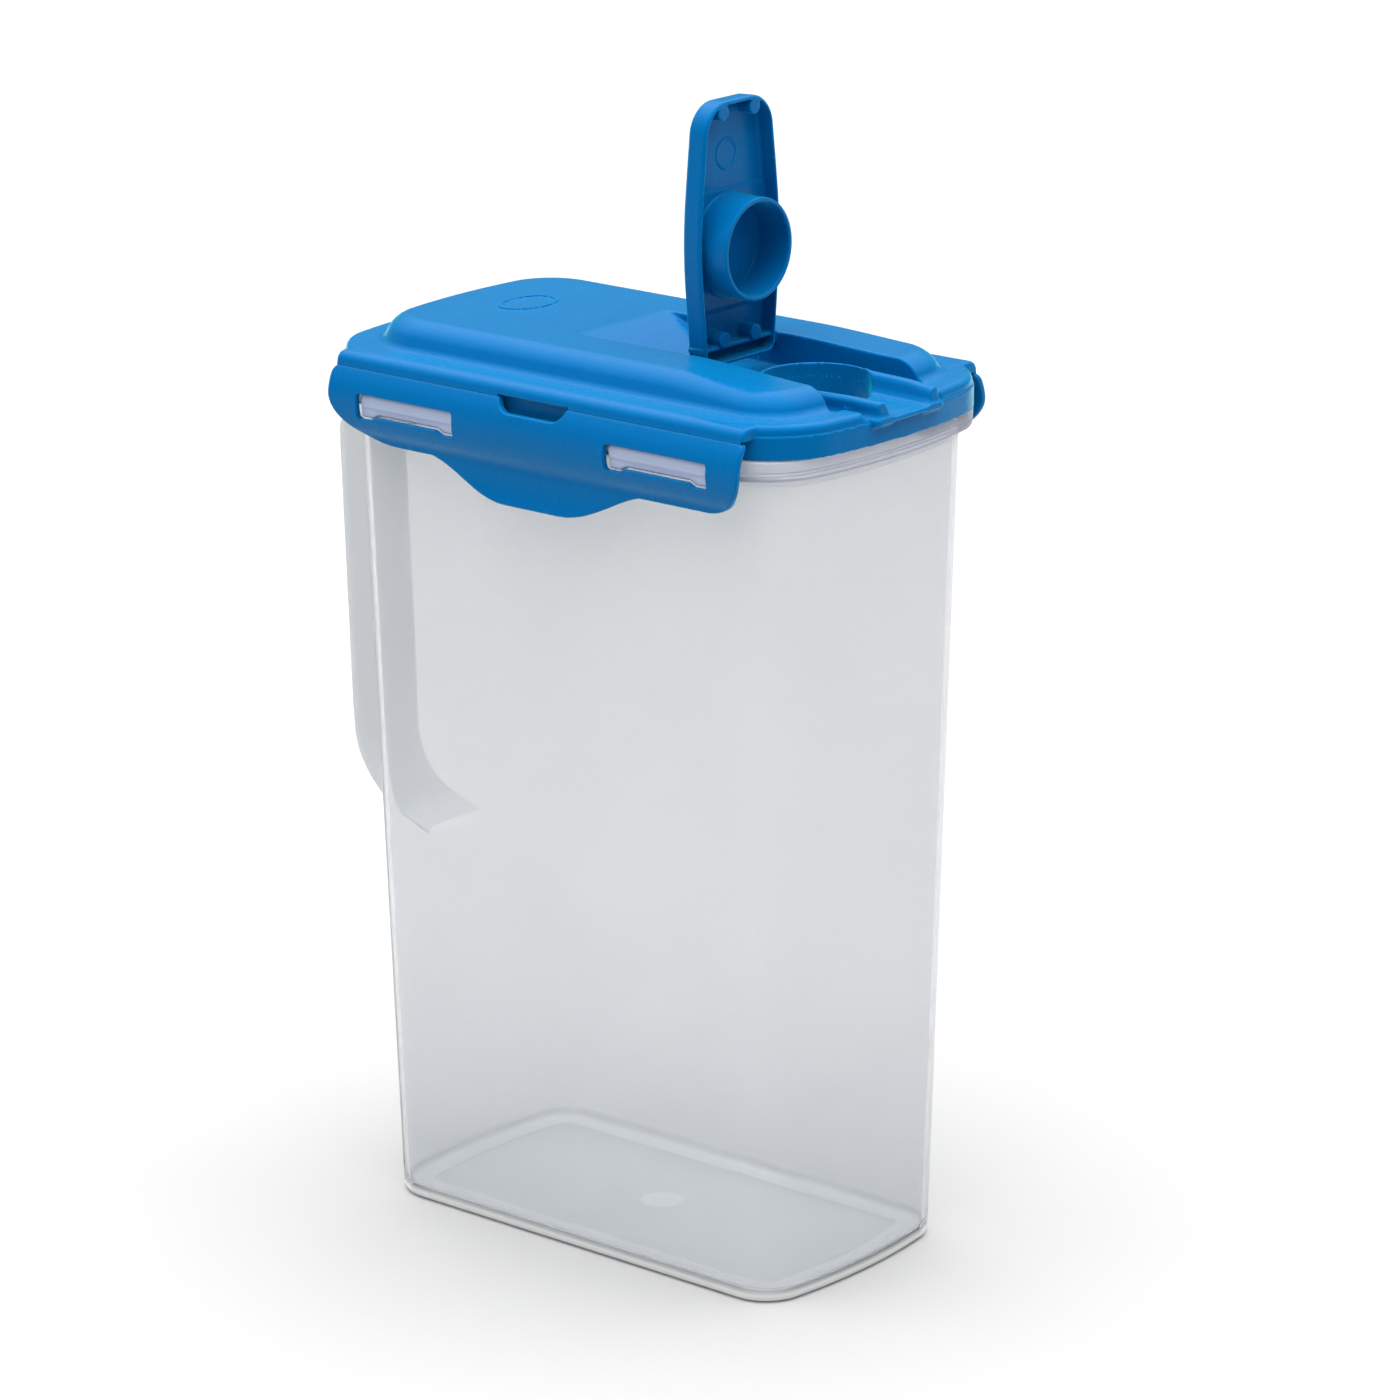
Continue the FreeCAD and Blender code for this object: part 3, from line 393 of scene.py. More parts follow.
STRAP_THICK = 2.8
STRAP_TOP_HALF, STRAP_FOOT_HALF = HANDLE_HIGH.y, 11.4
STRAP_LOW_REACH, CURL_Z = 106.9, 128.5
STRAP_HIGH_ROUND, STRAP_LOW_ROUND = 8, 26
STRAP_SLOPE = math.radians(20)
STRAP_TAPER = 0.0352
ARM_END, FOOT_END = -82.1, -77.7


def disc(radius):
    return Outline(radius, radius, radius, radius)


def container_path():
    """The container's skin from the middle of the foot, up outside, over the rim and down inside."""
    panel = BASE.inset(PANEL_INSET)
    path = [
        (disc(0.6), PANEL_STEP + 0.5, 0),
        (disc(GATE), PANEL_STEP + 0.5, 0.3),
        (disc(GATE + 0.6), PANEL_STEP, 0.3),
        (panel.inset(1.2), PANEL_STEP, 0.6),
        (panel, 0, 0.6),
        (BASE, 0, 2.9),
    ]
    for row in range(1, WALL_ROWS):
        share = row / WALL_ROWS
        path.append((BASE.toward(MOUTH, share), FLANGE_LOW * share, 0))
    path += [
        (MOUTH, FLANGE_LOW, 0.8),
        (FLANGE.inset(0.5), FLANGE_LOW, 0.5),
        (FLANGE.inset(0.1), FLANGE_LOW + 1.0, 0.3),
        (FLANGE.inset(0.45), FLANGE_LOW + 1.4, 0.2),
        (FLANGE.inset(0.05), FLANGE_LOW + 1.8, 0.2),
        (FLANGE.inset(0.4), FLANGE_LOW + 2.3, 0.2),
        (FLANGE, FLANGE_LOW + 2.7, 0.2),
        (FLANGE, FLANGE_HIGH, 0.7),
        (RIM, FLANGE_HIGH, 0.5),
        (RIM, RIM_TOP, 0.7),
        (MOUTH.inset(WALL), RIM_TOP, 0.7),
        (MOUTH.inset(WALL), FLANGE_LOW, 0),
    ]
    inner_low, inner_high = BASE.inset(WALL), MOUTH.inset(WALL)
    for row in range(WALL_ROWS - 1, 0, -1):
        share = row / WALL_ROWS
        path.append((inner_low.toward(inner_high, share), FLANGE_LOW * share, 0))
    path += [
        (inner_low, FLOOR, 3.2),
        (panel, FLOOR, 0.6),
        (panel.inset(1.2), FLOOR + PANEL_STEP, 0.6),
        (disc(GATE * 2), FLOOR + PANEL_STEP, 0.3),
        (disc(GATE * 2 - 0.5), FLOOR + PANEL_STEP - 0.4, 0.3),
        (disc(0.6), FLOOR + PANEL_STEP - 0.4, 0),
    ]
    return path


def make_lug(end, side):
    """One clip lug: a bar on the flange with a deeper foot at each end."""
    length = LUG_OUTER - LUG_INNER
    middle = (LUG_OUTER + LUG_INNER) / 2

    def field(x, y, z):
        along = np.abs(x - end * middle) - length / 2
        sole = LUG_LOW - LUG_RISE * smooth_step(along, -LUG_FOOT - 1.6, -LUG_FOOT + 1.0)
        shape = shared(along, between(z, sole, LUG_HIGH), 1.1)
        face = side * y - LUG_FACE + 0.45 * smooth_step(z, 239.6, 239.2)
        return shared(shape, np.maximum(face, LUG_ROOT - side * y), 0.7)

    low = (end * middle - length / 2, min(side * LUG_ROOT, side * LUG_FACE), LUG_LOW - 2)
    high = (end * middle + length / 2, max(side * LUG_ROOT, side * LUG_FACE), LUG_HIGH)
    points, quads = surface_net(field, low, high, LUG_PITCH)
    return plain_object("lug", settled(points, field, 0.4), quads)


def make_strap():
    """The handle strap: a flat rounded section swept along its route, flared where it meets the wall."""
    half = STRAP_THICK / 2
    reach, reach_low = -HANDLE_LOW.x - half, STRAP_LOW_REACH - half
    top = HANDLE_HIGH.z - half
    high_round, low_round = STRAP_HIGH_ROUND - half, STRAP_LOW_ROUND - half
    route = [(ARM_END, top, 0.0)]
    bend_x = -reach + high_round
    route += [(x, top, 0.0) for x in np.linspace(ARM_END - 0.8, bend_x, 12)]
    for turn in np.linspace(0, QUARTER, 12)[1:]:
        place = (bend_x - high_round * math.sin(turn), top - high_round * (1 - math.cos(turn)), turn)
        route.append(place)
    lean = math.atan2(reach - reach_low, top - high_round - CURL_Z)
    for share in np.linspace(0, 1, 26)[1:]:
        x = -reach + (reach - reach_low) * share
        z = top - high_round + (CURL_Z - top + high_round) * share
        route.append((x, z, QUARTER + lean * min(share * 6, 1)))
    curl_x = -reach_low + low_round
    for turn in np.linspace(0, QUARTER - STRAP_SLOPE, 22)[1:]:
        x = curl_x - low_round * math.cos(turn)
        z = CURL_Z - low_round * math.sin(turn)
        route.append((x, z, QUARTER + turn))
    heel_x, heel_z, heel_turn = route[-1]
    run = FOOT_END - heel_x
    for share in (0.15, 0.3, 0.45, 0.6, 0.7, 0.78, 0.85, 0.91, 0.96, 1.0):
        route.append((heel_x + run * share, heel_z - run * share * math.tan(STRAP_SLOPE), heel_turn))

    squareness = 0.42
    rings = []
    for x, z, turn in route:
        wall = abs(CONTAINER_LOW.x) - 3 - (CONTAINER_HIGH.z - z) * STRAP_TAPER
        gap = np.clip((-x - wall + 0.6) / 3.2, 0, 1)
        flare = 1 + 0.45 * (1 - gap) ** 2
        share = smooth_step(z, CURL_Z + 10, 104)
        wide = STRAP_TOP_HALF + (STRAP_FOOT_HALF - STRAP_TOP_HALF) * float(share)
        ring = []
        for step in range(40):
            angle = step / 40 * 4 * QUARTER
            cos, sin = math.cos(angle), math.sin(angle)
            y = wide * math.copysign(abs(cos) ** (squareness * 0.45), cos)
            rise = half * flare * math.copysign(abs(sin) ** squareness, sin)
            ring.append((x + rise * math.sin(turn), y, z + rise * math.cos(turn)))
        rings.append(np.array(ring))
    return swept("strap", rings)


def make_vessel():
    """The container, its strap and its four lugs as one skin."""
    vessel = swept("vessel_shell", ring_stack(container_path(), corner_steps=64))
    lugs = [make_lug(end, side) for end in (-1, 1) for side in (-1, 1)]
    weld(vessel, make_strap(), *lugs)
    return smooth(vessel, 38)


# ---------------------------------------------------------------- lid

LID_LOW, LID_HIGH = corners("lid")
SKIRT_LOW, DOME_TOP, LIP_REACH = LID_LOW.z, LID_HIGH.z, LID_HIGH.x
BAND_FACE = LID_HIGH.y
SKIRT = Outline(88.2, 49.7, 20.8, 176.1)
SKIRT_WALL = 1.8
DECK_LOW = 250.1
SHELF_TOP = 253.6
DOME_FOOT = Outline(78.6, 40.4, 17, 176.1)
DOME_CROWN = Outline(74.6, 36.6, 15, 176.1)
DOME_WALL = 1.9
DOME_FALL = 1.7
DOME_SQUARER = 5.0
DOME_ROUND, DOME_FILLET, CAVE_ROUND = 4.0, 1.8, 2.0
SHELF_ROUND, BAND_ROUND, BAND_END_ROUND = 2.2, 3.0, 1.2
SMALL_FILLET = 0.4
GUIDE = Outline(81.5, 40.2, 14.5, 176.1)
GUIDE_LOW, GUIDE_WALL = 246.0, 1.5
BAND_LENGTH, BAND_LOW = 73.4, 250.2
BEAD_Z, BEAD_STEP = 250.7, 0.45
TROUGH_FLOOR = 251.5
TROUGH_START, POCKET_END, TROUGH_END = 20.0, 22.1, 79.5
TROUGH_BACK, TROUGH_FRONT = 17.4, 19.6
TROUGH_BLOCK, TROUGH_FLARE = 21.4, 1.6
TROUGH_ROUND, TROUGH_EDGE = 0.8, 0.7
RAMP_START, RAMP_END = -11.0, 14.1
CHANNEL, CHANNEL_START, CHANNEL_END = 15.8, 70.0, SKIRT.length - 0.7
LIP_WIDTH, LIP_START, LIP_ROUND = 14.6, 83.0, 2.2
HOLE_X, HOLE_RADIUS, HOLE_RELIEF = 57.0, 14.9, 0.5
HOLE_STEP, HOLE_EDGE = 0.25, 0.35
TUBE_RADIUS, TUBE_LOW, TUBE_STEP = 16.4, 245.8, 252.7
COLLAR_RADIUS, COLLAR_TOP = 15.8, 256.4
RIDGE_BACK, RIDGE_START, RIDGE_END = 62.0, 63.0, 89.2
RIDGE_OUTER_START, RIDGE_OUTER_END = 15.4, 13.1
RIDGE_THICK, RIDGE_LEAN, RIDGE_DROP = 3.3, 1.9, 0.5
RIDGE_ROUND, RIDGE_END_ROUND = 1.5, 0.9
COLLAR_FILLET, WALL_FILLET = 0.8, 1.9
CORNER_ROUND = 2.8
PIVOT_X, PIVOT_Z = 27.1, 258.6
SOCKET_RADIUS, SOCKET_REACH = 1.68, 19.3
EMBLEM_X, EMBLEM_Y = -48.0, 1.5
EMBLEM_LONG, EMBLEM_WIDE = 6.5, 9.5
NOTCH_HALF, NOTCH_LOW, NOTCH_DEPTH = 12.3, 246.0, 0.9


def line_field(x, z, start, stop):
    """Signed distance from a line in X and Z, negative on its upper right."""
    run, rise = stop[0] - start[0], stop[1] - start[1]
    long = math.hypot(run, rise)
    return -((x - start[0]) * -rise + (z - start[1]) * run) / long


def dome_height(x):
    """The dome's top, which falls away toward the spout."""
    return DOME_TOP - DOME_FALL * smooth_step(x, 30, 74)


def dome_flank(x, y, z, inset):
    """The dome's sloping side, with squarer corners at the spout end."""
    share = np.clip((z - SHELF_TOP) / (DOME_TOP - SHELF_TOP), -0.5, 1.2)
    outline = DOME_FOOT.inset(inset).toward(DOME_CROWN.inset(inset), share)
    outline.corner = outline.corner - DOME_SQUARER * smooth_step(x, 10, 50)
    return outline.distance(x, y) * 0.9


def trough_half(x):
    """The trough's half width, which grows toward the spout."""
    return TROUGH_BACK + (TROUGH_FRONT - TROUGH_BACK) * (x - POCKET_END) / (TROUGH_END - POCKET_END)


def trough_field(x, side, z):
    """The cap's recess: hinge pocket, long trough, and the spout channel through the shelf."""
    above_shelf = z > SHELF_TOP
    pocket = np.maximum(side - TROUGH_BACK - 1, x - POCKET_END)
    snap = np.maximum(side - TROUGH_BACK - 0.35, between(x, TROUGH_START, 29.5))
    flare = TROUGH_FLARE * smooth_step(x, TROUGH_END - 5, TROUGH_END + 1.5) ** 2 * above_shelf
    long = np.maximum(side - trough_half(x) - flare, TROUGH_START - x)
    long = np.maximum(long, np.where(above_shelf, x - 120, x - TROUGH_END))
    turn = np.clip(x - (CHANNEL_END - CORNER_ROUND), 0, CORNER_ROUND)
    mouth = CORNER_ROUND - np.sqrt(CORNER_ROUND**2 - turn**2)
    channel = np.maximum(side - CHANNEL - mouth, CHANNEL_START - x) * 0.85
    plan = np.minimum(np.minimum(pocket, snap), np.minimum(long, channel))
    ramp = line_field(x, z, (RAMP_START, DOME_TOP), (RAMP_END, TROUGH_FLOOR))
    floor = np.maximum(TROUGH_FLOOR - z, ramp)
    return shared(plan, floor, TROUGH_ROUND)


def ridge_field(x, side, z):
    """One wall of the spout channel, leaning in a little, with a dropped front end."""
    share = (x - RIDGE_START) / (RIDGE_END - RIDGE_START)
    outer = RIDGE_OUTER_START + (RIDGE_OUTER_END - RIDGE_OUTER_START) * share
    thick = RIDGE_THICK + RIDGE_LEAN * np.clip((COLLAR_TOP - z) / (COLLAR_TOP - TROUGH_FLOOR), 0, 1)
    across = np.maximum(side - outer, outer - thick - side)
    top = z - (COLLAR_TOP - RIDGE_DROP * smooth_step(x, 78, RIDGE_END))
    wall = shared(across, top, RIDGE_ROUND)
    ends = np.maximum(x - RIDGE_END, RIDGE_BACK - x)
    return np.maximum(shared(wall, ends, RIDGE_END_ROUND), DECK_LOW - z)


def collar_field(x, y, z):
    """The half ring that stands round the back of the pour hole."""
    ring = np.hypot(x - HOLE_X, y)
    tube = np.maximum(ring - COLLAR_RADIUS, x - RIDGE_START - 1.5)
    return np.maximum(shared(tube, z - COLLAR_TOP, 0.5), DECK_LOW - z)


def shell_field(x, y, z):
    """The lid's shelf, side bands and dome, hollow underneath."""
    side = np.abs(y)
    bead = BEAD_STEP * smooth_step(z, BEAD_Z - 0.2, BEAD_Z + 0.3)
    shelf = shared(SKIRT.distance(x, y) + bead, z - SHELF_TOP, SHELF_ROUND)
    band = shared(side - BAND_FACE, z - SHELF_TOP, BAND_ROUND)
    band = shared(band, np.abs(x) - BAND_LENGTH, BAND_END_ROUND)
    band = np.maximum(band, BAND_LOW - z)
    foot = joined(shelf, band, SMALL_FILLET)
    dome = shared(dome_flank(x, y, z, 0), z - dome_height(x), DOME_ROUND)
    outer = joined(foot, np.maximum(dome, DECK_LOW - z), DOME_FILLET)
    outer = np.maximum(outer, SKIRT_LOW - z)

    hollow = np.maximum(SKIRT.inset(SKIRT_WALL).distance(x, y), z - DECK_LOW)
    cave = shared(dome_flank(x, y, z, DOME_WALL), z - dome_height(x) + DOME_WALL, CAVE_ROUND)
    body = carved(outer, np.minimum(hollow, cave), 0.3)
    under = line_field(x, z, (RAMP_START - 2, DOME_TOP - DOME_WALL), (RAMP_END - 2, DECK_LOW))
    fill = np.maximum(np.maximum(side - TROUGH_BLOCK, under), np.maximum(DECK_LOW - z, outer))
    guide = np.abs(GUIDE.distance(x, y) + GUIDE_WALL / 2) - GUIDE_WALL / 2
    guide = shared(guide, between(z, GUIDE_LOW, DECK_LOW + 1), SMALL_FILLET)
    return joined(np.minimum(body, fill), guide, SMALL_FILLET)


def with_spout(body, x, y, z):
    """The shell with its trough, pouring lip, collar, channel ridges and pour hole."""
    side = np.abs(y)
    body = carved(body, trough_field(x, side, z), TROUGH_EDGE)
    lip = shared(np.maximum(side - LIP_WIDTH, LIP_START - x), x - LIP_REACH, LIP_ROUND)
    lip = shared(lip, between(z, DECK_LOW, TROUGH_FLOOR), 0.5)
    body = joined(body, lip, SMALL_FILLET)
    walls = joined(collar_field(x, y, z), ridge_field(x, side, z), COLLAR_FILLET)
    body = np.maximum(joined(body, walls, WALL_FILLET), x - LIP_REACH)
    tube = np.hypot(x - HOLE_X, y) - TUBE_RADIUS
    body = joined(body, shared(tube, between(z, TUBE_LOW, TROUGH_FLOOR), 0.3), SMALL_FILLET)
    hole = np.hypot(x - np.clip(x, HOLE_X, HOLE_X + HOLE_RELIEF), y) - HOLE_RADIUS
    step = HOLE_STEP * smooth_step(z, TUBE_STEP + 0.2, TUBE_STEP - 0.2)
    return carved(body, hole + step, HOLE_EDGE)


def with_details(body, x, y, z):
    """The hinge sockets, the recess behind each latch's notch and the oval ring on the dome."""
    side = np.abs(y)
    socket = np.maximum(np.hypot(x - PIVOT_X, z - PIVOT_Z) - SOCKET_RADIUS, side - SOCKET_REACH)
    snap = np.maximum(np.abs(x - PIVOT_X) - 1.5, np.maximum(side - TROUGH_BACK - 1.2, PIVOT_Z - z))
    body = carved(body, np.minimum(socket, snap), 0.3)
    window = shared(np.abs(x) - NOTCH_HALF - 0.6, between(z, NOTCH_LOW - 1.5, BAND_LOW - 0.2), 0.8)
    body = carved(body, np.maximum(window, SKIRT.width - NOTCH_DEPTH - side), 0.2)
    oval = np.hypot((x - EMBLEM_X) / EMBLEM_LONG, (y - EMBLEM_Y) / EMBLEM_WIDE)
    ring = np.abs(oval - 1) * 7.5 - 0.6
    relief = shared(ring, np.abs(z - dome_height(x)) - 0.5, 0.2)
    return joined(body, relief, 0.25)


def lid_field(x, y, z):
    body = with_spout(shell_field(x, y, z), x, y, z)
    return with_details(body, x, y, z)


def make_lid():
    high = (LID_HIGH.x, LID_HIGH.y, LID_HIGH.z + 0.5)
    return field_object("lid_shell", lid_field, LID_LOW, high, 0.6)


def make_gasket():
    """The silicone ring under the lid's deck: a square ring with a rolled bead on its outer edge."""
    low, high = corners("lid_gasket")
    outer = Outline(high.x, high.y, 17, 176.1)
    band = 3.2
    middle = (low.z + high.z) / 2
    path = [
        (outer.inset(0.7), low.z, 0.3),
        (outer, low.z + 0.6, 0.3),
        (outer, high.z - 0.7, 0.3),
        (outer.inset(0.5), high.z, 0.3),
        (outer.inset(band), high.z, 0.3),
        (outer.inset(band), middle + 0.3, 0.2),
        (outer.inset(band - 0.5), middle, 0.2),
        (outer.inset(band), middle - 0.3, 0.2),
        (outer.inset(band), low.z, 0.3),
    ]
    return smooth(swept("lid_seal", ring_stack(path), closed_path=True), 50)


# ---------------------------------------------------------------- pour cap

CAP_LOW, CAP_HIGH = corners("pour_cap")
PLUG_LOW, PLUG_HIGH = corners("cap_plug")
CAP_BACK, CAP_RIM = CAP_LOW.x, CAP_HIGH.x
CAP_HEEL, CAP_TIP = CAP_LOW.z, CAP_HIGH.z
CAP_PLATE, CAP_WALL = 1.7, 1.2
CAP_NOSE_ROUND, CAP_HEEL_ROUND, CAP_RIM_ROUND = 8.6, 3.2, 1.05
PAD_RISE, PAD_LOW, PAD_HIGH = 0.35, 270.0, 304.5
PEG_SIDE, PEG_HEIGHTS, PEG_RADIUS = 6.6, (263.5, 326.1), 2.2
RIB_LOW, RIB_HIGH, RIB_DROP = 260.9, 262.0, 0.9
MARK_Z, MARK_RADIUS = 313.5, 4.0
CAP_HEIGHTS = (256.5, 258.5, 284, 296, 308, 322.3, 330)
CAP_HALVES = (14.9, 15.0, 17.3, 17.3, 16.1, 14.4, 13.7)
PLUG_Z = (PLUG_LOW.z + PLUG_HIGH.z) / 2
PLUG_RADIUS = (PLUG_HIGH.z - PLUG_LOW.z) / 2
PLUG_WALL = 1.4
PLUG_FLARE, PLUG_FLARE_RUN = 0.9, 1.6
PIN_RADIUS, PIN_INNER = 1.5, 14.2


def cap_flank(side, z):
    """The cap's side edge, its corners eased by averaging the outline over 10 mm."""
    halves = [np.interp(z + shift, CAP_HEIGHTS, CAP_HALVES) for shift in (-5, -2.5, 0, 2.5, 5)]
    return side - sum(halves) / len(halves)


def cap_field(x, y, z):
    """The pour cap standing open: a shallow tray with four pegs, a rib, a ring mark and two pins."""
    side = np.abs(y)
    outline = shared(cap_flank(side, z), z - CAP_TIP, CAP_NOSE_ROUND)
    outline = shared(outline, CAP_HEEL - z, CAP_HEEL_ROUND)
    depth = CAP_RIM - x
    skin = shared(outline + 0.05 * depth, CAP_BACK - x, 1.5)
    skin = shared(skin, x - CAP_RIM, CAP_RIM_ROUND)
    pad = PAD_RISE * smooth_step(z, PAD_LOW, PAD_LOW + 1.5) * smooth_step(z, PAD_HIGH, PAD_HIGH - 1)
    plate = CAP_BACK + CAP_PLATE + pad
    tray = shared(outline + CAP_WALL + 0.03 * depth, plate - x, 1.1)
    body = carved(skin, tray, 0.35)
    for height in PEG_HEIGHTS:
        peg = np.hypot(side - PEG_SIDE, z - height) - PEG_RADIUS
        peg = shared(peg, between(x, CAP_BACK + 0.5, CAP_RIM - 0.1), 0.35)
        body = joined(body, peg, 0.5)
    inside = np.maximum(outline, CAP_BACK + 0.5 - x)
    rib = np.maximum(shared(between(z, RIB_LOW, RIB_HIGH), x - CAP_RIM + RIB_DROP, 0.4), inside)
    body = joined(body, rib, 0.6)
    ring = np.abs(np.hypot(y, z - MARK_Z) - MARK_RADIUS) - 0.35
    ring = shared(ring, np.abs(x - CAP_BACK - CAP_PLATE) - 0.22, 0.2)
    body = joined(body, ring, 0.2)
    pin = np.hypot(x - PIVOT_X, z - PIVOT_Z) - PIN_RADIUS
    pin = shared(pin, side - CAP_HIGH.y, 0.4)
    pin = np.maximum(pin, PIN_INNER - side)
    return joined(body, pin, 0.3)


def plug_field(x, y, z):
    """The plug: a tube on the cap's plate, flared at its root."""
    ring = np.hypot(y, z - PLUG_Z)
    root = CAP_BACK + CAP_PLATE - 0.1
    flare = PLUG_FLARE * np.clip(1 - (x - root) / PLUG_FLARE_RUN, 0, 1) ** 2
    middle = PLUG_RADIUS - PLUG_WALL / 2
    tube = np.abs(ring - middle) - PLUG_WALL / 2 - flare
    return shared(tube, between(x, root, PLUG_HIGH.x), 0.55)


def make_cap():
    return field_object("pour_cap_tray", cap_field, CAP_LOW, CAP_HIGH, 0.36)


def make_plug():
    low = (PLUG_LOW.x, PLUG_LOW.y - 1, PLUG_LOW.z - 1)
    high = (PLUG_HIGH.x, PLUG_HIGH.y + 1, PLUG_HIGH.z + 1)
    return field_object("pour_cap_plug", plug_field, low, high, 0.33)


# ---------------------------------------------------------------- latches

LATCH_LOW, LATCH_HIGH = corners("latch_rear")
LATCH_LENGTH, LATCH_TOP = LATCH_HIGH.x, LATCH_HIGH.z
LATCH_HINGE = 51.1
LATCH_BULGE, LATCH_BULGE_Z = LATCH_HIGH.y - 0.02, 241.0
LATCH_TUCK, LATCH_TUCK_Z = 51.3, 231.0
LATCH_THICK = 1.8
LATCH_EDGE = 229.2
TAB_LOW, TAB_FACE = LATCH_LOW.z, 52.8
TAB_FLAT, TAB_RUN = 8, 41
SLOT_INNER, SLOT_OUTER, SLOT_LOW, SLOT_HIGH = 27.5, 63.1, 236.2, 243.4
LEFT_CORNER, RIGHT_CORNER = (24.0, 14.0), (13.0, 12.5)


def latch_field(x, y, z):
    """The rear latch: a bulging plate with a finger tab, two lug slots and a notch on its hinge line.

    Seen from outside, its left lower corner is rounder than its right one.
    """
    along = np.abs(x)
    flare_z = (LATCH_TUCK_Z + TAB_LOW) / 2
    flare_y = (LATCH_TUCK + TAB_FACE) / 2 - 0.6
    bulge = circle_through(
        (LATCH_HINGE, LATCH_TOP), (LATCH_BULGE, LATCH_BULGE_Z), (LATCH_TUCK, LATCH_TUCK_Z)
    )
    flare = circle_through((LATCH_TUCK, LATCH_TUCK_Z), (flare_y, flare_z), (TAB_FACE, TAB_LOW))
    half = LATCH_THICK / 2
    upper = np.abs(np.hypot(y - bulge[0], z - bulge[1]) - bulge[2] + half) - half
    lower = np.abs(flare[2] - np.hypot(y - flare[0], z - flare[1]) + half) - half
    share = smooth_step(z, LATCH_TUCK_Z - 2.5, LATCH_TUCK_Z + 2.5)
    plate = lower + (upper - lower) * share

    wide, tall = (np.where(x > 0, a, b) for a, b in zip(LEFT_CORNER, RIGHT_CORNER))
    across = np.maximum(along - LATCH_LENGTH + wide, 0) / wide
    drop = np.maximum(LATCH_EDGE + tall - z, 0) / tall
    reach = np.hypot(across, drop)
    steep = np.hypot(across / wide, drop / tall) / np.maximum(reach, 0.01)
    corner = np.where(
        (across > 0) & (drop > 0),
        (reach - 1) / np.maximum(steep, 0.01),
        np.maximum(along - LATCH_LENGTH, LATCH_EDGE - z),
    )
    tab_edge = TAB_LOW + 0.1 + (LATCH_EDGE - TAB_LOW + 0.3) * smooth_step(along, TAB_FLAT, TAB_RUN) ** 1.3
    tab = np.maximum((tab_edge - z) * 0.88, along - TAB_RUN)
    view = np.minimum(corner, tab)
    view = shared(np.maximum(view, along - LATCH_LENGTH), z - LATCH_TOP, 2.2)
    body = shared(plate, view, 0.5)

    inward = np.minimum(along - LUG_INNER, LUG_OUTER - along)
    sill = SLOT_LOW + LUG_RISE * smooth_step(inward, LUG_FOOT - 1.0, LUG_FOOT + 1.6)
    slot = shared(between(along, SLOT_INNER, SLOT_OUTER), between(z, sill, SLOT_HIGH), 1.0)
    lean = (LATCH_TOP - z) * 0.5
    notch = shared(along - NOTCH_HALF + lean, NOTCH_LOW - z, 2.6)
    return carved(carved(body, notch, 0.45), slot, 0.3)


def make_latches():
    pitch = 0.36
    rear = field_object("latch_rear_clip", latch_field, LATCH_LOW, LATCH_HIGH, pitch)
    return turned_copy(rear, "latch_front_clip"), rear


def make_film(side, end):
    """One half of a latch's living hinge: a thin curved web from the lid's band to the latch."""
    half = 0.18
    start, stop = NOTCH_HALF + 0.4, BAND_LENGTH - 0.7
    path = [(50.5, 251.1), (50.8, 250.6), (50.92, 250.1), (50.9, 249.6), (50.65, 249.1)]
    rings = []
    for x in np.linspace(start, stop, 40):
        outside = [(y + half, z) for y, z in path]
        inside = [(y - half, z) for y, z in reversed(path)]
        rings.append(np.array([(end * x, side * y, z) for y, z in outside + inside]))
    film = swept("hinge_film", rings)
    film.name = f"hinge_film_{'rear' if side > 0 else 'front'}_{'spout' if end > 0 else 'handle'}"
    return smooth(film, 40)


# ---------------------------------------------------------------- materials


def new_material(name):
    material = bpy.data.materials.new(name)
    material.use_nodes = True
    nodes = material.node_tree.nodes
    return material, nodes, material.node_tree.links, nodes["Principled BSDF"]


def noise(nodes, links, place, scale, detail=3.0, rough=0.55):
    texture = nodes.new("ShaderNodeTexNoise")
    texture.inputs["Scale"].default_value = scale
    texture.inputs["Detail"].default_value = detail
    texture.inputs["Roughness"].default_value = rough
    links.new(place, texture.inputs["Vector"])
    return texture.outputs["Fac"]


def ranged(nodes, links, value, low, high, start=0.3, stop=0.7):
    spread = nodes.new("ShaderNodeMapRange")
    spread.inputs["From Min"].default_value = start
    spread.inputs["From Max"].default_value = stop
    spread.inputs["To Min"].default_value = low
    spread.inputs["To Max"].default_value = high
    links.new(value, spread.inputs["Value"])
    return spread.outputs["Result"]


def mixed(nodes, links, share, first, second):
    blend = nodes.new("ShaderNodeMix")
    blend.data_type = "RGBA"
    blend.inputs["A"].default_value = (*first, 1)
    blend.inputs["B"].default_value = (*second, 1)
    links.new(share, blend.inputs["Factor"])
    return blend.outputs["Result"]


def overlaid(nodes, links, share, under, colour):
    """A colour laid over another one by a share that varies from place to place."""
    layer = nodes.new("ShaderNodeMix")
    layer.data_type = "RGBA"
    layer.inputs["B"].default_value = (*colour, 1)
    links.new(share, layer.inputs["Factor"])
    links.new(under, layer.inputs["A"])
    return layer.outputs["Result"]


def bumped(nodes, links, height, strength, distance):
    bump = nodes.new("ShaderNodeBump")
    bump.inputs["Strength"].default_value = strength
    bump.inputs["Distance"].default_value = distance
    links.new(height, bump.inputs["Height"])
    return bump


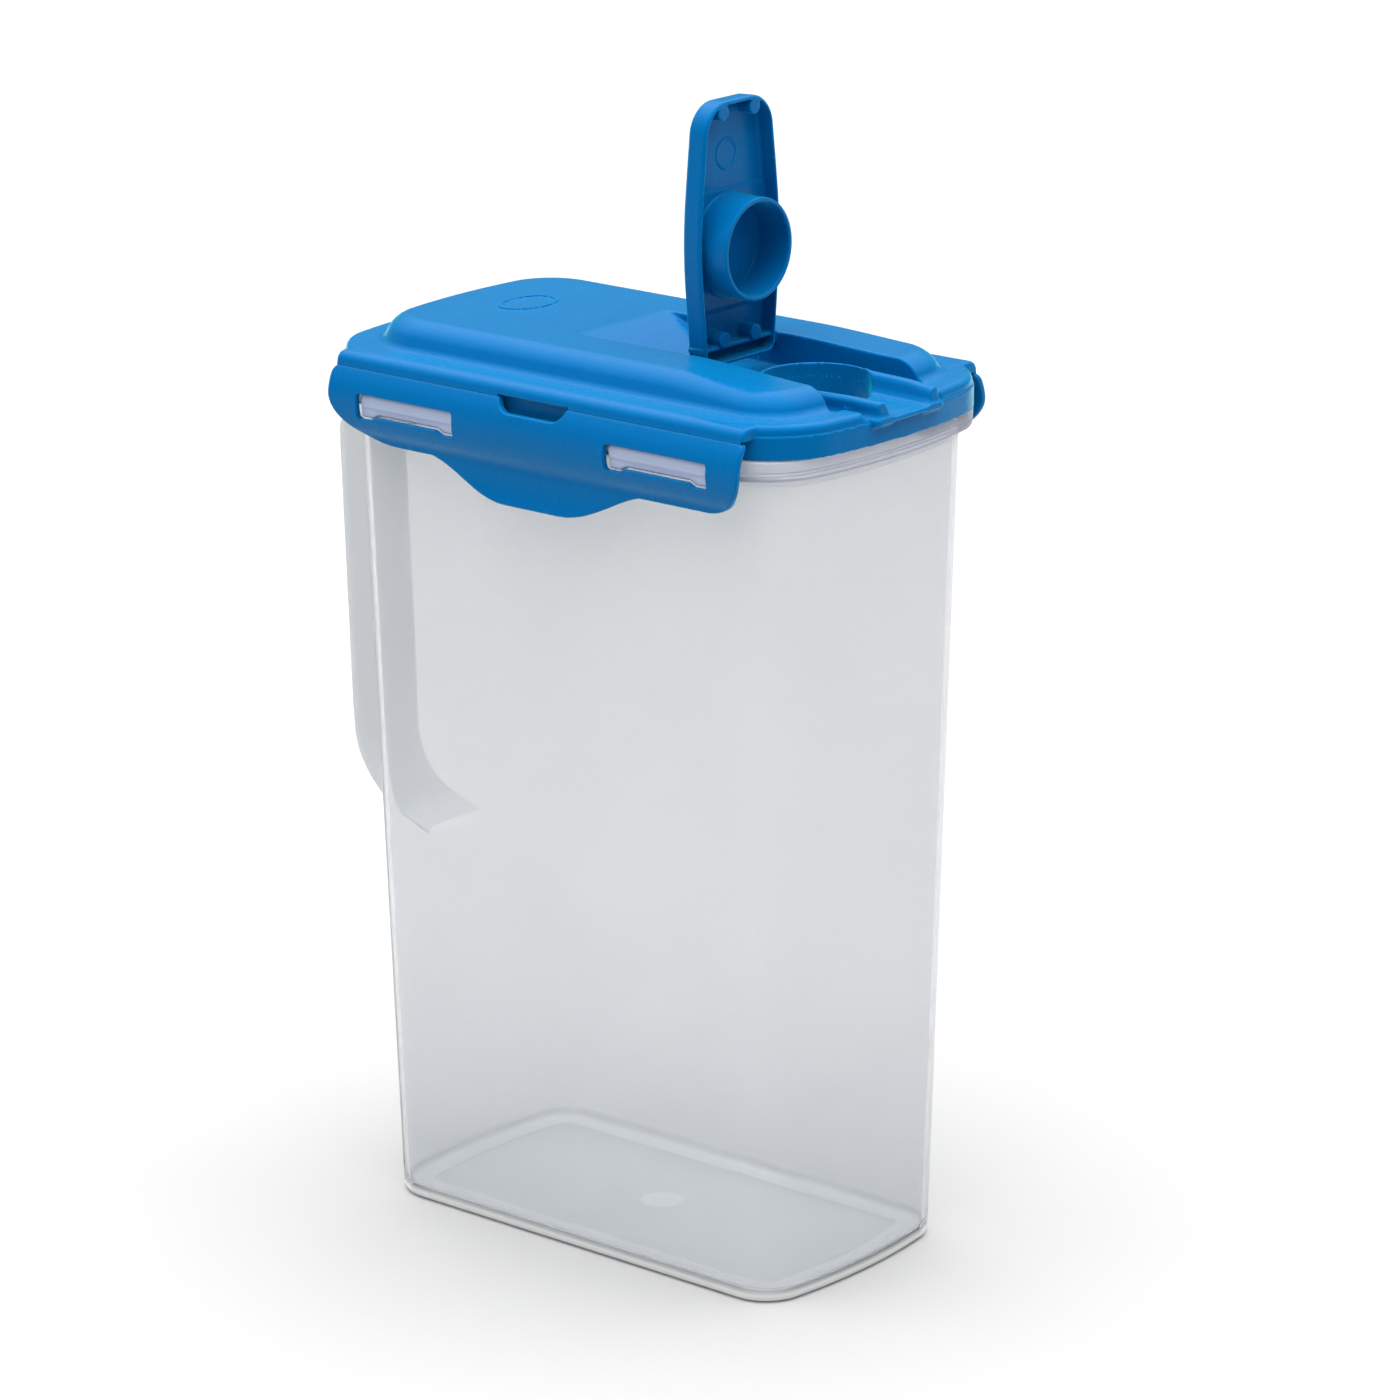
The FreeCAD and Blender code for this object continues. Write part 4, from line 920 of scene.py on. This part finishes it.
def blue_plastic():
    """Satin moulded polypropylene: an even blue, a faint grain, and a painted highlight that makes convex
    edges a lighter blue.
    """
    material, nodes, links, shader = new_material("blue_polypropylene")
    place = nodes.new("ShaderNodeTexCoord").outputs["Object"]
    cloud = noise(nodes, links, place, 35)
    edge = nodes.new("ShaderNodeNewGeometry").outputs["Pointiness"]
    body = mixed(nodes, links, cloud, (0.0, 0.107, 0.320), (0.0, 0.119, 0.344))
    # painted highlight: convex edges, found by pointiness, are painted a lighter blue as if they caught
    # more light
    painted_edge_highlight = ranged(nodes, links, edge, 0, 0.5, 0.52, 0.62)
    body = overlaid(nodes, links, painted_edge_highlight, body, (0.0, 0.165, 0.52))
    links.new(body, shader.inputs["Base Color"])
    links.new(ranged(nodes, links, noise(nodes, links, place, 220), 0.22, 0.30), shader.inputs["Roughness"])
    grain = bumped(nodes, links, noise(nodes, links, place, 1500, 2.0), 0.16, 0.0002)
    swell = bumped(nodes, links, noise(nodes, links, place, 60, 1.0), 0.10, 0.0006)
    links.new(swell.outputs["Normal"], grain.inputs["Normal"])
    links.new(grain.outputs["Normal"], shader.inputs["Normal"])
    shader.inputs["Specular IOR Level"].default_value = 0.2
    shader.inputs["Specular Tint"].default_value = (0.06, 0.50, 0.85, 1)
    shader.inputs["IOR"].default_value = 1.49
    shader.inputs["Sheen Weight"].default_value = 0.5
    shader.inputs["Sheen Roughness"].default_value = 0.35
    shader.inputs["Sheen Tint"].default_value = (0.04, 0.80, 0.85, 1)
    return material


def clear_plastic():
    """Natural polypropylene: hazy and see-through in the walls, denser in the flange, foot and strap. The
    flange and lugs also carry painted shade, a darker blue-grey standing in for the shade and blue light of
    the lid and latches around them, and the foot is painted whiter as painted light that lifts the shade
    under the base.
    """
    material, nodes, links, shader = new_material("natural_polypropylene")
    place = nodes.new("ShaderNodeTexCoord").outputs["Object"]
    haze = noise(nodes, links, place, 28, 4.0)
    parts = nodes.new("ShaderNodeSeparateXYZ")
    links.new(place, parts.inputs["Vector"])
    height, along = parts.outputs["Z"], parts.outputs["X"]
    outward = nodes.new("ShaderNodeMath")
    outward.operation = "ABSOLUTE"
    links.new(parts.outputs["Y"], outward.inputs[0])
    # painted shade: beyond |Y| 49 mm the lugs and the flange's outer faces get a dark blue-grey tint
    # standing in for shade and the latches' blue light
    lug = ranged(nodes, links, outward.outputs["Value"], 0, 1, 48.5 * MM, 49.1 * MM)
    # the flange band: denser moulding, with painted shade making it darker and bluish under the lid
    flange = ranged(nodes, links, height, 0, 1, (FLANGE_LOW - 3) * MM, FLANGE_LOW * MM)
    low = ranged(nodes, links, height, 1, 0, 10 * MM, 80 * MM)
    # painted light: the bottom few millimetres are painted whiter and more diffuse to lift the shade under
    # the base
    foot = ranged(nodes, links, height, 1, 0, 2.4 * MM, 4.4 * MM)
    strap = ranged(nodes, links, along, 1, 0, -92 * MM, -87 * MM)
    tint = mixed(nodes, links, haze, (0.850, 0.865, 0.880), (0.875, 0.890, 0.900))
    clear = ranged(nodes, links, haze, 0.80, 0.77)
    for share, colour, density in (
        (low, (0.82, 0.84, 0.86), 0.785),
        # flange: partly the denser rim, partly painted shade, darker and bluish under the blue lid
        (flange, (0.68, 0.70, 0.77), 0.55),
        # lugs: painted shade, a dark blue-grey standing in for the shade and blue light inside the latch
        # slots
        (lug, (0.44, 0.51, 0.68), 0.10),
        (strap, (0.64, 0.66, 0.68), 0.79),
        # foot: partly denser moulding, partly painted light, whiter to lift the shade under the base
        (foot, (0.95, 0.96, 0.97), 0.20),
    ):
        tint = overlaid(nodes, links, share, tint, colour)
        depth = nodes.new("ShaderNodeMix")
        links.new(share, depth.inputs["Factor"])
        links.new(clear, depth.inputs["A"])
        depth.inputs["B"].default_value = density
        clear = depth.outputs["Result"]
    links.new(tint, shader.inputs["Base Color"])
    links.new(clear, shader.inputs["Transmission Weight"])
    links.new(ranged(nodes, links, haze, 0.06, 0.09), shader.inputs["Roughness"])
    fine = bumped(nodes, links, noise(nodes, links, place, 900, 2.0), 0.02, 0.00005)
    links.new(fine.outputs["Normal"], shader.inputs["Normal"])
    shader.inputs["IOR"].default_value = 1.08
    shader.inputs["Specular IOR Level"].default_value = 0.5
    return material


def silicone():
    """Matt whitish silicone with a faint dusty bloom."""
    material, nodes, links, shader = new_material("milky_silicone")
    place = nodes.new("ShaderNodeTexCoord").outputs["Object"]
    bloom = noise(nodes, links, place, 130)
    milky = mixed(nodes, links, bloom, (0.70, 0.72, 0.74), (0.80, 0.81, 0.82))
    links.new(milky, shader.inputs["Base Color"])
    links.new(ranged(nodes, links, bloom, 0.45, 0.60), shader.inputs["Roughness"])
    fine = bumped(nodes, links, noise(nodes, links, place, 1100, 2.0), 0.12, 0.0002)
    links.new(fine.outputs["Normal"], shader.inputs["Normal"])
    shader.inputs["Subsurface Weight"].default_value = 0.25
    shader.inputs["Subsurface Scale"].default_value = 0.002
    return material


# ---------------------------------------------------------------- studio

CAMERA_PLACE = (1.0000, -1.1696, 0.6211)
CAMERA_AZIMUTH, CAMERA_ELEVATION, CAMERA_ROLL = 40.093, 16.895, -0.42
CAMERA_LENS = 146.73


def make_camera():
    turn, tilt, roll = (math.radians(v) for v in (CAMERA_AZIMUTH, CAMERA_ELEVATION, CAMERA_ROLL))
    back = Vector((math.sin(turn) * math.cos(tilt), -math.cos(turn) * math.cos(tilt), math.sin(tilt)))
    right = (-back).cross(Vector((0, 0, 1))).normalized()
    up = right.cross(-back)
    rolled_right = right * math.cos(roll) + up * math.sin(roll)
    rolled_up = up * math.cos(roll) - right * math.sin(roll)
    data = bpy.data.cameras.new("camera")
    data.lens = CAMERA_LENS
    data.sensor_width = 36
    data.clip_end = 50
    camera = bpy.data.objects.new("camera", data)
    bpy.context.collection.objects.link(camera)
    turned = Matrix((rolled_right, rolled_up, back)).transposed().to_4x4()
    camera.matrix_world = Matrix.Translation(CAMERA_PLACE) @ turned
    bpy.context.scene.camera = camera


def make_floor():
    """A wide flat floor: plain, pale, matt and even."""
    size = 6.0
    steps = 24
    grid = np.linspace(-size, size, steps)
    points = [(x / MM, y / MM, 0) for x in grid for y in grid]
    faces = [
        (i * steps + j, (i + 1) * steps + j, (i + 1) * steps + j + 1, i * steps + j + 1)
        for i in range(steps - 1)
        for j in range(steps - 1)
    ]
    floor = plain_object("studio_floor", points, faces)
    material, nodes, links, shader = new_material("pale_floor")
    place = nodes.new("ShaderNodeTexCoord").outputs["Object"]
    tone = noise(nodes, links, place, 3)
    pale = mixed(nodes, links, tone, (0.455,) * 3, (0.465,) * 3)
    links.new(pale, shader.inputs["Base Color"])
    shader.inputs["Roughness"].default_value = 0.9
    shader.inputs["Specular IOR Level"].default_value = 0.1
    floor.data.materials.append(material)


def soft_light(name, place, aim, size, watts):
    data = bpy.data.lights.new(name, "AREA")
    data.shape = "SQUARE"
    data.size = size
    data.energy = watts
    lamp = bpy.data.objects.new(name, data)
    lamp.location = place
    lamp.rotation_euler = (Vector(aim) - Vector(place)).to_track_quat("-Z", "Y").to_euler()
    bpy.context.collection.objects.link(lamp)


HORIZON_GLOW, ZENITH_GLOW = 0.1, 5.8


def make_studio():
    scene = bpy.context.scene
    world = bpy.data.worlds.new("studio")
    world.use_nodes = True
    nodes, links = world.node_tree.nodes, world.node_tree.links
    background = nodes["Background"]
    background.inputs["Color"].default_value = (1, 1, 1, 1)
    parts = nodes.new("ShaderNodeSeparateXYZ")
    links.new(nodes.new("ShaderNodeTexCoord").outputs["Generated"], parts.inputs["Vector"])
    climb = nodes.new("ShaderNodeMath")
    climb.operation = "POWER"
    climb.use_clamp = True
    links.new(parts.outputs["Z"], climb.inputs[0])
    climb.inputs[1].default_value = 3.0
    glow = ranged(nodes, links, climb.outputs["Value"], HORIZON_GLOW, ZENITH_GLOW, 0, 1)
    links.new(glow, background.inputs["Strength"])
    scene.world = world
    scene.view_settings.view_transform = "Standard"
    middle = (0, 0, 0.15)
    soft_light("left_fill", (-1.0, -1.9, 0.8), middle, 1.2, 2)


# ---------------------------------------------------------------- assembly


def finish_piece(piece, material, slot, body, *nodes):
    piece.data.materials.clear()
    piece.data.materials.append(material)
    if body:
        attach(piece, body)
    if nodes:
        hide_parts(*nodes)


make_camera()
make_studio()
make_floor()
BLUE, CLEAR, SILICONE = blue_plastic(), clear_plastic(), silicone()

finish_piece(make_vessel(), CLEAR, "clear_plastic", "vessel", "container", "handle")
finish_piece(make_lid(), BLUE, "blue_plastic", "lid_assembly", "lid")
finish_piece(make_gasket(), SILICONE, "silicone", "lid_assembly", "lid_gasket")
finish_piece(make_cap(), BLUE, "blue_plastic", "flip_cap", "pour_cap")
finish_piece(make_plug(), BLUE, "blue_plastic", "flip_cap", "cap_plug")
latch_front, latch_rear = make_latches()
finish_piece(latch_front, BLUE, "blue_plastic", "front_latch", "latch_front")
finish_piece(latch_rear, BLUE, "blue_plastic", "rear_latch", "latch_rear")
for side, body in ((-1, "front_latch"), (1, "rear_latch")):
    for end in (-1, 1):
        film = make_film(side, end)
        finish_piece(film, BLUE, "blue_plastic", None)
        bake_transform(film)
